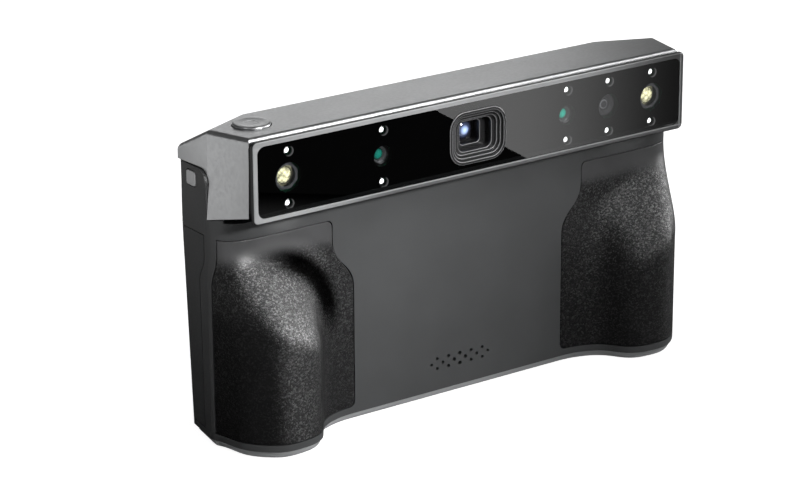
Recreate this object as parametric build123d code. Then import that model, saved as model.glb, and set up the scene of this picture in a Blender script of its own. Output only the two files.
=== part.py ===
from build123d import *
import math
import os

os.makedirs("parts", exist_ok=True)

# A two-handed scanner: a sensor head with a window along its front, a flat body with a
# bulging grip at each end, and a flip-up screen behind. X runs along the window, the
# window faces -Y, Z is up, and the origin is at the middle of the base.

# Driving sizes
body_width = 188.0
body_height = 108.0
grip_lead = 4.5
grip_width = 50.4
grip_rise = 14.6
panel_setback = 10.1
body_back_setback = 35.4
shell_wall = 2.8
seam_gap = 0.3
overrun = 5.0

# Base plate
base_thickness = 2.8
base_inset = 0.9
base_edge_radius = 2.0
floor_thickness = 2.6

# Shoulder of the grips, where they swell out of the panel
shoulder_drop = 34.5
shoulder_run = 28.0
shoulder_lag = 22.0
side_setback = 20.0
side_draw = 2.6
side_draw_drop = 36.0
back_corner_radius = 2.4
section_count = 8
foot_section_count = 4

# Across the grip from the side to the panel: place, rise at the neck, rise in the hand
grip_curve_shares = (
    (0.016, -0.45, -0.44),
    (0.063, -0.21, 0.21),
    (0.186, -0.02, 0.77),
    (0.286, 0.006, 0.97),
    (0.415, 0.009, 1.0),
    (0.515, 0.009, 0.94),
    (0.590, 0.008, 0.79),
    (0.697, 0.006, 0.32),
    (0.820, 0.002, 0.09),
)
grip_side_share = -0.66

# Grip pads
pad_thickness = 1.5
pad_top_drop = 35.7
pad_bottom_rise = 2.6
pad_neck_reach = 42.2
pad_hand_reach = 50.4
pad_curve_start_drop = 43.0
pad_curve_end_drop = 60.0
pad_corner_radius = 2.2
pad_neck_setback = 15.4
pad_hand_setback = 17.4
side_curve_start_drop = 42.0
side_curve_end_drop = 52.0

# Rear cover
cover_top_drop = 35.1
cover_bottom_rise = 2.4
cover_neck_setback = 21.0
cover_hand_setback = 24.4
case_screw_reach = 83.8
case_screw_low_rise = 10.0
case_screw_high_drop = 42.0
boss_radius = 3.0

# Head housing
head_front_setback = 3.1
head_front_width = 176.2
head_sink = 0.7
brow_rise = 1.1
front_lean = 0.7
crease_lean = 2.2
crease_lean_back = 1.9
head_wall = 2.0
head_floor = 1.2
crease_setback = 18.6
ridge_setback = 30.25
ridge_width = 143.4
back_bevel_drop = 8.4
side_line_drop = 12.8
head_front_drop = 25.8
crease_drop = 29.2
side_line_radius = 5.0
head_edge_radius = 1.4
lip_height = 2.4
lip_thickness = 1.2
lip_root = 0.8

# Window
bezel_width = 176.2
bezel_height = 27.5
bezel_depth = 1.2
bezel_rim = 1.8
bezel_radius = 1.8
bezel_edge = 0.5
glass_recess = 0.3
glass_radius = 2.7
glass_clearance = 0.1
gasket_inset = 0.5
gasket_width = 0.9
mask_thickness = 0.4

# Sensors behind the window
sensor_drop = 13.9
led_offset = 8.75
outer_column = 74.3
inner_column = 37.8
colour_column = 55.6
led_radius = 1.05
led_base_radius = 1.35
led_hole_radius = 1.6
led_top_setback = 1.9
led_dome_height = 0.7
board_setback = 4.6
board_thickness = 1.2
board_margin = 0.4
flash_ring_radius = 4.6
flash_cup_radius = 3.5
flash_ring_height = 2.0
flash_rim = 0.5
flash_lens_radius = 2.6
flash_lens_height = 0.8
flash_hole_radius = 4.9
camera_barrel_radius = 3.6
camera_barrel_setback = 3.0
camera_bore_radius = 2.2
camera_bore_depth = 1.6
camera_lens_radius = 2.1
camera_lens_height = 0.9
camera_body_size = 13.0
camera_body_depth = 6.0
camera_clearance = 0.4
colour_hole_radius = 4.4
bench_setback = 16.5
bench_thickness = 3.0
bench_width = 124.0
bench_margin = 0.8
bench_foot = 10.0
standoff_radius = 2.2
standoff_column = 23.0
standoff_offset = 6.0

# Projector
hood_width = 23.0
hood_height = 18.2
hood_radius = 6.0
hood_step = 1.05
hood_step_depth = 0.7
hood_step_count = 3
hood_depth = 9.0
hood_clearance = 0.15
funnel_width = 13.6
funnel_height = 10.6
funnel_depth = 5.0
aperture_width = 8.2
aperture_height = 7.8
aperture_radius = 1.4
lens_radius = 3.6
lens_height = 1.4
projector_width = 25.0
projector_height = 19.0

# Scan button on top and its switch
scan_place = 77.2
scan_setback = 17.3
scan_radius = 6.2
scan_gap = 0.35
scan_height = 0.9
scan_edge = 0.5
scan_dish_radius = 4.6
scan_dish_depth = 0.25
scan_flange_radius = 7.4
scan_flange_thickness = 1.0
scan_travel = 0.6
switch_spare = 0.3
switch_size = 6.0
switch_height = 3.2
switch_board_width = 22.4
switch_board_depth = 7.0
switch_post_radius = 1.8
switch_post_offset = 9.4

# Power button on the side and its switch
power_width = 5.4
power_height = 5.0
power_radius = 1.2
power_setback = 27.4
power_drop = 17.4
power_gap = 0.3
power_proud = 0.3
power_flange = 0.5
power_flange_thickness = 0.8
power_travel = 0.5
power_board_depth = 9.0
power_board_height = 14.0

# Inside the body
deck_thickness = 2.4
battery_width = 92.0
battery_height = 50.0
battery_depth = 11.0
battery_rise = 18.0
battery_edge = 2.0
main_board_left = 58.0
main_board_right = 80.0
main_board_height = 56.0
main_board_rise = 13.0
main_board_setback = 27.0
post_radius = 2.6
post_column = 52.0
post_inset = 5.0
heat_sink_width = 60.0
heat_sink_height = 34.0
heat_sink_base = 1.2
fin_height = 2.4
fin_thickness = 1.2
fin_count = 9
speaker_width = 34.0
speaker_height = 9.0
speaker_depth = 4.4
speaker_hole_pitch = 4.75
speaker_row_pitch = 1.8
speaker_hole_radius = 0.72
speaker_hole_shrink = 0.07
speaker_rise = 12.4
usb_width = 9.0
usb_thickness = 3.2
usb_depth = 7.6
usb_wall = 0.35
usb_tongue = 0.7
usb_rise = 44.0
usb_gap = 0.35
bush_radius = 5.0
bush_bore_radius = 2.6
bush_height = 8.0
bush_roof = 1.0
bush_flange_radius = 6.6
bush_flange_height = 1.6
fit_clearance = 0.05

# Fasteners
screw_radius = 1.0
screw_head_radius = 1.9
screw_head_height = 1.2
screw_length = 7.0
screw_recess_radius = 1.0
base_screw_reach = 70.0
base_screw_setback = 24.0

# Flip-up screen and its hinge
screen_gap = 0.8
screen_thickness = 10.8
screen_width = 152.0
screen_height = 78.0
screen_corner_radius = 6.0
screen_wall = 2.0
screen_edge_radius = 1.6
screen_glass_thickness = 1.4
screen_glass_margin = 1.6
display_margin = 8.0
display_thickness = 2.2
screen_board_width = 60.0
screen_board_height = 24.0
screen_board_thickness = 1.4
hinge_drop = 16.5
hinge_barrel_radius = 3.7
hinge_neck = 5.2
hinge_web_thickness = 4.6
hinge_barrel_length = 112.0
hinge_ear_width = 8.0
hinge_ear_gap = 0.4
hinge_flange_width = 17.0
hinge_flange_thickness = 1.6
hinge_flange_top = 3.0
hinge_flange_bottom = 4.2
hinge_pin_radius = 1.5
hinge_pin_depth = 9.0
hinge_screw_margin = 0.6

# Places that follow from the sizes
overall_depth = grip_lead + body_back_setback + screen_gap + screen_thickness
face_y = grip_lead - overall_depth / 2
panel_y = face_y + panel_setback
back_y = face_y + body_back_setback
half_width = body_width / 2
head_top = body_height - head_sink
brow_top = head_top + brow_rise
head_side_wall = head_wall + crease_lean
head_front_y = face_y + head_front_setback
crease_y = face_y + crease_setback
side_line_z = body_height - side_line_drop
head_front_z = body_height - head_front_drop
crease_z = body_height - crease_drop
deck_top = crease_z - seam_gap
deck_bottom = deck_top - deck_thickness
floor_top = base_thickness + floor_thickness
sensor_z = body_height - sensor_drop
bezel_back_y = face_y + bezel_depth
board_y = face_y + board_setback
board_back_y = board_y + board_thickness
bench_y = face_y + bench_setback
bench_back_y = bench_y + bench_thickness
sensor_columns = (-outer_column, -inner_column, inner_column, colour_column, outer_column)
depth_columns = {"left": -inner_column, "right": inner_column}
flash_columns = {"left": -outer_column, "right": outer_column}


def block(x_range, y_range, z_range):
    """A box between two places on each axis."""
    size = (x_range[1] - x_range[0], y_range[1] - y_range[0], z_range[1] - z_range[0])
    low = (x_range[0], y_range[0], z_range[0])
    return Pos(*low) * Box(*size, align=(Align.MIN, Align.MIN, Align.MIN))


def front_plane(y):
    """A drawing plane that is seen from the window's side, with X across and Z up."""
    return Plane(origin=(0, y, 0), x_dir=(1, 0, 0), z_dir=(0, -1, 0))


def slab(sketch, y_low, y_high):
    """A sketch drawn in X and Z, given its depth along Y."""
    return extrude(front_plane(y_high) * sketch, amount=y_high - y_low)


def disc(x, z, radius, y_low, y_high):
    """A round slab along Y."""
    return slab(Pos(x, z) * Circle(radius), y_low, y_high)


def post(x, y, radius, z_low, z_high):
    """A round post along Z."""
    return Pos(x, y, z_low) * extrude(Circle(radius), amount=z_high - z_low)


def rod(y, z, radius, x_low, x_high):
    """A round rod along X."""
    face = Plane(origin=(x_low, y, z), z_dir=(1, 0, 0)) * Circle(radius)
    return extrude(face, amount=x_high - x_low)


def across(sketch, width):
    """A sketch drawn in Y and Z, run across the body to both sides of its middle."""
    return extrude(Plane.YZ * sketch, amount=width / 2, both=True)


def stepped_edge(top_place, low_place, top, curve_start, curve_end, bottom):
    """The edge of a pad or cover: straight, an S-bend, and straight again."""
    down = (0, -1)
    bend = Spline((top_place, curve_start), (low_place, curve_end), tangents=(down, down))
    return [Line((top_place, top), (top_place, curve_start)), bend, Line((low_place, curve_end), (low_place, bottom))]


def stepped_face(limit, top_place, low_place, top, curve_start, curve_end, bottom):
    """The area between a stepped edge and a straight limit beyond it."""
    edge = stepped_edge(top_place, low_place, top, curve_start, curve_end, bottom)
    rest = Polyline((low_place, bottom), (limit, bottom), (limit, top), (top_place, top))
    return make_face(edge + rest.edges())


def grip_swell(level, across_share):
    """How far the grip has swollen at a height, from 0 at the neck to 1 in the hand."""
    start = body_height - shoulder_drop - across_share * shoulder_lag
    share = min(max((start - level) / shoulder_run, 0), 1)
    return share * share * (3 - 2 * share)


def draw_in(level):
    """How far the side's back edge draws in at a height."""
    drop = body_height - level - side_draw_drop
    return side_draw * min(max(drop / (body_height - side_draw_drop), 0), 1)


def grip_points(level, inset):
    """The right grip's outline at a height, from the side to the panel, moved in by an inset."""
    points = [(half_width, panel_y - grip_side_share * grip_rise)]
    for across_share, neck_share, hand_share in grip_curve_shares:
        rise_share = neck_share + grip_swell(level, across_share) * (hand_share - neck_share)
        points.append((half_width - across_share * grip_width, panel_y - rise_share * grip_rise))
    points.append((half_width - grip_width, panel_y))
    moved = []
    for number, point in enumerate(points):
        ahead = points[min(number + 1, len(points) - 1)]
        behind = points[max(number - 1, 0)]
        run_x = ahead[0] - behind[0]
        run_y = ahead[1] - behind[1]
        if number == 0:
            run_x = 0
        if number == len(points) - 1:
            run_y = 0
        length = math.hypot(run_x, run_y)
        moved.append((point[0] + inset * run_y / length, point[1] - inset * run_x / length))
    return moved


def half_section(level, inset):
    """The right half of the body's outline at a height."""
    right = grip_points(level, inset)
    back = back_y - inset
    corner = half_width - inset - draw_in(level)
    side_run = (right[0][0] - corner, right[0][1] - back)
    front = [Spline(*right, tangents=(side_run, (-1, 0))), Line(right[-1], (0, panel_y + inset))]
    rest = Polyline((0, panel_y + inset), (0, back), (corner, back), right[0])
    face = make_face(front + rest.edges())
    back_corner = face.vertices().sort_by_distance((corner, back))[0]
    return Pos(0, 0, level) * fillet(back_corner, back_corner_radius)


def half_form(inset):
    """The right half of the body's outer form, or of the form at an inset under its skin."""
    low = base_thickness
    swell_end = body_height - shoulder_drop - shoulder_lag - shoulder_run
    swell_start = body_height - shoulder_drop
    high = side_line_z - seam_gap
    levels = [low + (swell_end - low) * number / foot_section_count for number in range(foot_section_count)]
    for number in range(section_count):
        levels.append(swell_end + (swell_start - swell_end) * number / section_count)
    levels += [swell_start, (swell_start + high) / 2, high]
    return loft([half_section(level, inset) for level in levels])


def both_halves(right):
    """A right half joined to its mirror image."""
    return right + mirror(right, about=Plane.YZ)


outer_half = half_form(0)
inner_half = half_form(shell_wall)
under_pad_half = half_form(pad_thickness)
skin_half = outer_half - under_pad_half


def head_profile(grow):
    """The head's side view, with the step where it meets the body's side."""
    ridge_y = face_y + ridge_setback
    points = (
        (head_front_y, brow_top),
        (ridge_y, head_top),
        (back_y, body_height - back_bevel_drop),
        (back_y, side_line_z),
        (crease_y, side_line_z),
        (crease_y, crease_z),
        (head_front_y, head_front_z),
    )
    face = make_face(Polyline(*points, close=True))
    step = face.vertices().sort_by_distance((crease_y, side_line_z))[0]
    face = fillet(step, side_line_radius)
    if grow:
        face = offset(face, amount=grow, kind=Kind.INTERSECTION)
    return face


def head_plan(front, crease, back):
    """The head seen from above, from the right ends of its front, its crease and its back."""
    points = [front, crease, back]
    points += [(-x, y) for x, y in reversed(points)]
    return make_face(Polyline(*points, close=True))


def brow_fall():
    """How steeply the head's top falls from the brow to the ridge."""
    return brow_rise / (ridge_setback - head_front_setback)


def crease_corner(side):
    """The place on one side where the leaning crease meets the head's top."""
    tall = brow_top - crease_z
    share = (tall - brow_fall() * (crease_y - head_front_y)) / (tall + brow_fall() * crease_lean_back)
    return Vector(
        side * (half_width - share * crease_lean),
        crease_y + share * crease_lean_back,
        crease_z + share * tall,
    )


def shoulder_plane(side, depth):
    """The slanting facet at the back corner of the head's top, at a depth under its skin."""
    ridge_end = Vector(side * ridge_width / 2, face_y + ridge_setback, head_top)
    back_end = Vector(side * half_width, back_y, body_height - back_bevel_drop)
    normal = (crease_corner(side) - ridge_end).cross(back_end - ridge_end).normalized()
    if normal.Z < 0:
        normal = -normal
    return Plane(origin=ridge_end - normal * depth, z_dir=normal)


def head_block():
    """The head's outside, leaning in from the crease to the top and cut by the shoulder facets."""
    front = head_front_width / 2
    back = (half_width, back_y)
    low_plan = head_plan((front, head_front_y), (half_width, crease_y), back)
    top_crease = (half_width - crease_lean, crease_y + crease_lean_back)
    top_plan = head_plan((front - front_lean, head_front_y), top_crease, back)
    solid = loft([Pos(0, 0, crease_z) * low_plan, Pos(0, 0, brow_top) * top_plan], ruled=True)
    for side in (-1, 1):
        solid = split(solid, bisect_by=shoulder_plane(side, 0), keep=Keep.BOTTOM)
    return solid


def head_cavity():
    """The hollow of the head: open to the window, and to the body behind the crease."""
    ridge_y = face_y + ridge_setback
    bevel_z = body_height - back_bevel_drop
    floor_end = crease_y - head_floor
    slope = (head_front_z - crease_z) / (crease_y - head_front_y)
    front = head_front_y - overrun
    points = (
        (front, head_top - head_wall),
        (ridge_y - head_wall / 2, head_top - head_wall),
        (back_y - head_wall, bevel_z - head_wall / 2),
        (back_y - head_wall, crease_z - overrun),
        (floor_end, crease_z - overrun),
        (floor_end, crease_z + slope * head_floor + head_floor),
        (front, head_front_z + slope * overrun + head_floor),
    )
    profile = make_face(Polyline(*points, close=True))
    inner_side = half_width - head_side_wall
    plan = head_plan(
        (head_front_width / 2 - head_wall, head_front_y), (inner_side, crease_y), (inner_side, back_y - head_wall)
    )
    inner_plan = Pos(0, 0, base_thickness) * extrude(plan, amount=body_height)
    mouth = block(
        (-head_front_width / 2 + head_wall, head_front_width / 2 - head_wall),
        (head_front_y - overrun, head_front_y + overrun),
        (base_thickness, body_height),
    )
    solid = (inner_plan + mouth) & across(profile, body_width)
    for side in (-1, 1):
        solid = split(solid, bisect_by=shoulder_plane(side, head_wall), keep=Keep.BOTTOM)
    return solid


def make_head_housing():
    """The metal cap over the sensors, with the scan button's well and its switch posts."""
    solid = head_block() & across(head_profile(0), body_width)
    left_shoulder, right_shoulder, top = solid.faces().sort_by(Axis.Z)[-3:]
    rounded = top.edges()
    rounded += [edge for edge in left_shoulder.edges() + right_shoulder.edges() if edge not in rounded]
    solid = fillet(rounded, head_edge_radius)
    solid -= head_cavity()
    inner_top = head_top - head_wall
    board_top = inner_top - scan_flange_thickness - scan_travel - switch_spare - switch_height - seam_gap
    button_y = face_y + scan_setback
    for side in (-1, 1):
        place = -scan_place + side * switch_post_offset
        solid += post(place, button_y, switch_post_radius, board_top, inner_top + head_wall / 2)
    well = post(-scan_place, button_y, scan_radius + scan_gap, inner_top - overrun, brow_top + overrun)
    return solid - well


def rear_prism(grow):
    """The space that the rear cover takes from the body, seen from the side."""
    top = body_height - cover_top_drop + grow
    bottom = base_thickness + cover_bottom_rise - grow
    face = stepped_face(
        back_y + overrun,
        face_y + cover_neck_setback - grow,
        face_y + cover_hand_setback - grow,
        top,
        body_height - side_curve_start_drop,
        body_height - side_curve_end_drop,
        bottom,
    )
    return across(face, body_width + overrun)


def pad_prism(grow):
    """The space of the right grip pad: its front outline, and its edge on the body's side."""
    top = body_height - pad_top_drop + grow
    bottom = base_thickness + pad_bottom_rise - grow
    low_place = half_width - pad_hand_reach - grow
    top_place = half_width - pad_neck_reach - grow
    curve_start = body_height - pad_curve_start_drop
    curve_end = body_height - pad_curve_end_drop
    front = stepped_face(half_width + overrun, top_place, low_place, top, curve_start, curve_end, bottom)
    corners = [front.vertices().sort_by_distance(place)[0] for place in ((top_place, top), (low_place, bottom))]
    front = fillet(corners, pad_corner_radius)
    side_face = stepped_face(
        face_y - grip_lead - overrun,
        face_y + pad_neck_setback + grow,
        face_y + pad_hand_setback + grow,
        top,
        body_height - side_curve_start_drop,
        body_height - side_curve_end_drop,
        bottom,
    )
    return slab(front, face_y - grip_lead - overrun, back_y) & across(side_face, body_width + 2 * overrun)


def case_screw_places(sides):
    """The rear cover's screws on the given sides, as places in X and Z."""
    low = base_thickness + case_screw_low_rise
    high = body_height - case_screw_high_drop
    return [(side * case_screw_reach, z) for side in sides for z in (low, high)]


def base_screw_places(sides):
    """The base plate's screws on the given sides, as places in X and Y."""
    near = face_y + base_screw_setback
    return [(side * reach, near) for side in sides for reach in (base_screw_reach, base_screw_reach / 2)]


def speaker_holes():
    """Three staggered rows of holes that shrink towards the ends."""
    holes = []
    for row, count in ((-1, 5), (0, 6), (1, 5)):
        for number in range(count):
            step = number - (count - 1) / 2
            radius = speaker_hole_radius - speaker_hole_shrink * abs(step)
            place = (step * speaker_hole_pitch, speaker_rise + row * speaker_row_pitch)
            holes.append(disc(*place, radius, panel_y - overrun, panel_y + shell_wall + overrun))
    return holes


def bush_place():
    """The middle of the body's depth, where the tripod bush stands."""
    return (panel_y + back_y) / 2


def shell_lip():
    """The right half of the rim that locates the head housing from inside."""
    outside = half_width - head_side_wall - seam_gap
    inside = outside - lip_thickness
    front = crease_y + side_line_radius + lip_height
    back = back_y - head_wall - seam_gap
    low = side_line_z - seam_gap - lip_root
    high = side_line_z + lip_height
    hollow = block((-overrun, inside), (front - overrun, back - lip_thickness), (low - overrun, high + overrun))
    return block((0, outside), (front, back), (low, high)) - hollow


def shell_half():
    """The right half of the body's shell, with its bosses and posts."""
    wall_x = half_width - shell_wall
    cover_inside = back_y - shell_wall
    room = block((-overrun, half_width), (face_y - overrun, back_y), (floor_top, deck_bottom))
    above_deck = block((-overrun, wall_x), (face_y, cover_inside), (deck_top, body_height))
    head_space = across(head_profile(seam_gap), body_width + overrun)
    pocket = skin_half & pad_prism(seam_gap)
    solid = outer_half - [rear_prism(seam_gap), head_space, pocket, inner_half & room, above_deck]
    added = [shell_lip()]
    holes = []
    for x, z in case_screw_places((1,)):
        added.append(disc(x, z, boss_radius, face_y - grip_lead, cover_inside) & under_pad_half)
        holes.append(disc(x, z, screw_radius + fit_clearance, cover_inside - screw_length, cover_inside))
    post_front = panel_y + (pad_thickness + shell_wall) / 2
    for z in (main_board_rise + post_inset, main_board_rise + main_board_height - post_inset):
        added.append(disc(post_column, z, post_radius, post_front, face_y + main_board_setback))
    for x, y in base_screw_places((1,)):
        added.append(post(x, y, boss_radius, base_thickness, base_thickness + screw_length + shell_wall))
        holes.append(post(x, y, screw_radius + fit_clearance, 0, base_thickness + screw_length))
    for x, z in hinge_screw_places((1,)):
        holes.append(disc(x, z, screw_radius + fit_clearance, cover_inside - overrun, back_y + overrun))
    return (solid + added) - holes


def make_main_shell():
    """The moulded body: panel, grips, sides and deck, open at the back for the rear cover."""
    holes = speaker_holes()
    holes.append(post(0, bush_place(), bush_radius + fit_clearance, 0, floor_top + overrun))
    button = RectangleRounded(power_width + 2 * power_gap, power_height + 2 * power_gap, power_radius + power_gap)
    holes.append(extrude(power_plane(-half_width - overrun) * button, amount=2 * overrun))
    return both_halves(shell_half()) - holes


def side_inside(level, y):
    """Where the body's side wall ends inside, at a height and a depth."""
    share = (y - face_y - side_setback) / (body_back_setback - side_setback)
    return half_width - shell_wall - draw_in(level) * min(max(share, 0), 1)


def usb_place():
    """The socket's middle in Y and Z, and where its mouth stands in X."""
    y = face_y + main_board_setback + board_thickness + usb_thickness / 2
    z = main_board_rise + usb_rise
    return side_inside(z, y) - seam_gap, y, z


def make_rear_cover():
    """The back lid, which wraps round onto both sides."""
    holes = []
    for x, z in case_screw_places((-1, 1)):
        holes.append(disc(x, z, screw_radius + fit_clearance, back_y - shell_wall - overrun, back_y + overrun))
        holes.append(disc(x, z, screw_head_radius + fit_clearance, back_y - screw_head_height, back_y + overrun))
    mouth_x, y, z = usb_place()
    slot = RectangleRounded(usb_thickness + 2 * usb_gap, usb_width + 2 * usb_gap, usb_thickness / 2)
    plane = Plane(origin=(mouth_x - overrun, y, z), x_dir=(0, 1, 0), z_dir=(1, 0, 0))
    holes.append(extrude(plane * slot, amount=3 * overrun))
    return both_halves((outer_half & rear_prism(0)) - inner_half) - holes


def make_grip_pad(side):
    """A moulded rubber pad, flush with the body around it."""
    pad = skin_half & pad_prism(0)
    if side < 0:
        pad = mirror(pad, about=Plane.YZ)
    return pad


def make_base_plate():
    """The metal foot that follows the body's outline, with a rounded lower edge."""
    face = both_halves(half_section(0, base_inset))
    solid = extrude(face, amount=base_thickness)
    solid = fillet(solid.faces().sort_by(Axis.Z)[0].edges(), base_edge_radius)
    bush_y = bush_place()
    solid -= post(0, bush_y, bush_flange_radius + fit_clearance, -overrun, bush_flange_height)
    solid -= post(0, bush_y, bush_radius + fit_clearance, -overrun, base_thickness + overrun)
    for x, y in base_screw_places((-1, 1)):
        solid -= post(x, y, screw_radius + fit_clearance, -overrun, base_thickness + overrun)
        solid -= post(x, y, screw_head_radius + fit_clearance, -overrun, screw_head_height)
    return solid


def make_tripod_bush():
    """A flanged metal bush with the bore for a quarter-inch camera screw."""
    solid = post(0, bush_place(), bush_radius, 0, bush_height)
    solid += post(0, bush_place(), bush_flange_radius, 0, bush_flange_height - fit_clearance)
    return solid - post(0, bush_place(), bush_bore_radius, -overrun, bush_height - bush_roof)


def screw(length):
    """A flat-headed screw standing on its head, with its shank upwards."""
    head = extrude(Circle(screw_head_radius), amount=screw_head_height)
    shank = extrude(Circle(screw_radius), amount=screw_head_height + length)
    recess = extrude(RegularPolygon(screw_recess_radius, 6), amount=screw_head_height / 2)
    return head + shank - recess


def make_case_screws():
    """The rear cover's screws, driven from behind."""
    length = shell_wall - screw_head_height + screw_length - seam_gap
    screws = []
    for x, z in case_screw_places((-1, 1)):
        screws.append(Pos(x, back_y, z) * Rot(90, 0, 0) * screw(length))
    return screws


def make_base_screws():
    """The base plate's screws, driven from below."""
    length = base_thickness - screw_head_height + screw_length - seam_gap
    return [Pos(x, y, 0) * screw(length) for x, y in base_screw_places((-1, 1))]


def bezel_middle():
    """The middle of the bezel's height."""
    return body_height - bezel_height / 2


def make_window_bezel():
    """The metal frame around the window."""
    outline = Pos(0, bezel_middle()) * RectangleRounded(bezel_width, bezel_height, bezel_radius)
    opening = Pos(0, bezel_middle()) * RectangleRounded(
        bezel_width - 2 * bezel_rim, bezel_height - 2 * bezel_rim, glass_radius
    )
    solid = slab(outline, face_y, bezel_back_y)
    rim_edges = solid.faces().sort_by(Axis.Y)[0].edges()
    solid = chamfer(rim_edges, bezel_edge)
    return solid - slab(opening, face_y - overrun, bezel_back_y + overrun)


def hood_outline(shrink):
    """The projector hood's rounded outline, drawn in by an amount on every side."""
    radius = max(hood_radius - shrink, aperture_radius)
    face = RectangleRounded(hood_width - 2 * shrink, hood_height - 2 * shrink, radius)
    return Pos(0, sensor_z) * face


def make_window_glass():
    """The dark cover glass, with the opening for the projector's hood."""
    width = bezel_width - 2 * bezel_rim - 2 * glass_clearance
    height = bezel_height - 2 * bezel_rim - 2 * glass_clearance
    outline = Pos(0, bezel_middle()) * RectangleRounded(width, height, glass_radius - glass_clearance)
    solid = slab(outline, face_y + glass_recess, bezel_back_y)
    return solid - slab(hood_outline(-hood_clearance), face_y - overrun, bezel_back_y + overrun)


def gasket_outline(inset):
    """The outline behind the bezel, drawn in from the head's front edge."""
    width = head_front_width - 2 * inset
    height = head_top - head_front_z - 2 * inset
    return Pos(0, (head_top + head_front_z) / 2) * RectangleRounded(width, height, bezel_radius)


def make_window_gasket():
    """The dark spacer that stands between the bezel and the head housing."""
    ring = gasket_outline(gasket_inset) - gasket_outline(gasket_inset + gasket_width)
    return slab(ring, bezel_back_y, head_front_y)


def make_window_mask():
    """The black mask behind the glass, with a round hole for each sensor and lamp."""
    outline = gasket_outline(gasket_inset + gasket_width + glass_clearance)
    solid = slab(outline, bezel_back_y, bezel_back_y + mask_thickness)
    solid -= slab(hood_outline(-hood_clearance), face_y, board_y)
    for x in sensor_columns:
        for side in (-1, 1):
            solid -= disc(x, sensor_z + side * led_offset, led_hole_radius, face_y, board_y)
    for x in flash_columns.values():
        solid -= disc(x, sensor_z, flash_hole_radius, face_y, board_y)
    for x in depth_columns.values():
        solid -= disc(x, sensor_z, camera_barrel_radius, face_y, board_y)
    return solid - disc(colour_column, sensor_z, colour_hole_radius, face_y, board_y)


def make_led_board():
    """The lamp board behind the mask, cut out round the cameras and the projector."""
    low = head_front_z + head_floor + board_margin
    high = head_top - head_wall - board_margin
    width = head_front_width - 2 * head_wall - 2 * board_margin
    outline = Pos(0, (low + high) / 2) * Rectangle(width, high - low)
    solid = slab(outline, board_y, board_back_y)
    solid -= slab(hood_outline(-hood_clearance), face_y, board_back_y + overrun)
    for x in (*depth_columns.values(), colour_column):
        solid -= disc(x, sensor_z, camera_barrel_radius + camera_clearance, face_y, board_back_y + overrun)
    return solid


def domed(profile, radius, height, back, x, z):
    """A turned piece about a line along Y that ends in a dome towards the window."""
    ball = (radius**2 + height**2) / (2 * height)
    half_angle = math.asin(radius / ball) / 2
    middle = (ball * math.sin(half_angle), back - height + ball - ball * math.cos(half_angle))
    dome = ThreePointArc((radius, back), middle, (0, back - height))
    axis_line = Line((0, back - height), profile[0])
    face = make_face(Polyline(*profile, (radius, back)).edges() + [dome, axis_line])
    return Pos(x, 0, z) * revolve(face, axis=Axis.Y)


def make_spot_led(x, z):
    """A small round lamp with a domed top, standing on the lamp board."""
    dome_back = face_y + led_top_setback + led_dome_height
    step = (board_y + dome_back) / 2
    profile = ((0, board_y), (led_base_radius, board_y), (led_base_radius, step), (led_radius, step))
    return domed(profile, led_radius, led_dome_height, dome_back, x, z)


def make_flash_ring(x):
    """The octagonal cup round a flash lamp."""
    front = board_y - flash_ring_height
    outer = Pos(x, sensor_z) * Rot(0, 0, 180 / 8) * RegularPolygon(flash_ring_radius, 8)
    solid = slab(outer, front, board_y)
    cup = Solid.make_cone(flash_lens_radius, flash_cup_radius, flash_ring_height - flash_rim)
    return solid - Pos(x, board_y - flash_rim, sensor_z) * Rot(90, 0, 0) * cup


def make_flash_lens(x):
    """The yellow flash lamp at the bottom of its cup."""
    back = board_y - flash_rim
    return domed(((0, back),), flash_lens_radius - fit_clearance, flash_lens_height, back, x, sensor_z)


def make_camera(x):
    """A camera module on the bench: a square body and a round barrel with a stepped mouth."""
    front = face_y + camera_barrel_setback
    body = Pos(x, sensor_z) * RectangleRounded(camera_body_size, camera_body_size, camera_clearance)
    solid = slab(body, bench_y - camera_body_depth, bench_y)
    solid += disc(x, sensor_z, camera_barrel_radius, front, bench_y - camera_body_depth)
    cone = Solid.make_cone(camera_bore_radius, camera_barrel_radius - camera_clearance, camera_bore_depth / 2)
    solid -= disc(x, sensor_z, camera_bore_radius, front - overrun, front + camera_bore_depth)
    return solid - Pos(x, front + camera_bore_depth / 2, sensor_z) * Rot(90, 0, 0) * cone


def make_camera_lens(x):
    """The domed front lens of a camera."""
    back = face_y + camera_barrel_setback + camera_bore_depth
    return domed(((0, back),), camera_lens_radius, camera_lens_height, back, x, sensor_z)


def make_projector_hood():
    """The stepped funnel in front of the projector."""
    solid = slab(hood_outline(0), face_y, face_y + hood_depth)
    for number in range(1, hood_step_count + 1):
        depth = number * hood_step_depth
        solid -= slab(hood_outline(number * hood_step), face_y - overrun, face_y + depth)
    funnel = RectangleRounded(funnel_width, funnel_height, aperture_radius + hood_step)
    solid -= slab(Pos(0, sensor_z) * funnel, face_y - overrun, face_y + funnel_depth)
    aperture = RectangleRounded(aperture_width, aperture_height, aperture_radius)
    return solid - slab(Pos(0, sensor_z) * aperture, face_y - overrun, face_y + hood_depth + overrun)


def make_projector_lens():
    """The lens that shows at the bottom of the hood."""
    back = face_y + hood_depth
    return domed(((0, back),), lens_radius, lens_height, back, 0, sensor_z)


def make_projector_engine():
    """The projector's light engine, between the hood and the bench."""
    outline = Pos(0, sensor_z) * RectangleRounded(projector_width, projector_height, aperture_radius)
    return slab(outline, face_y + hood_depth, bench_y)


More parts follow.
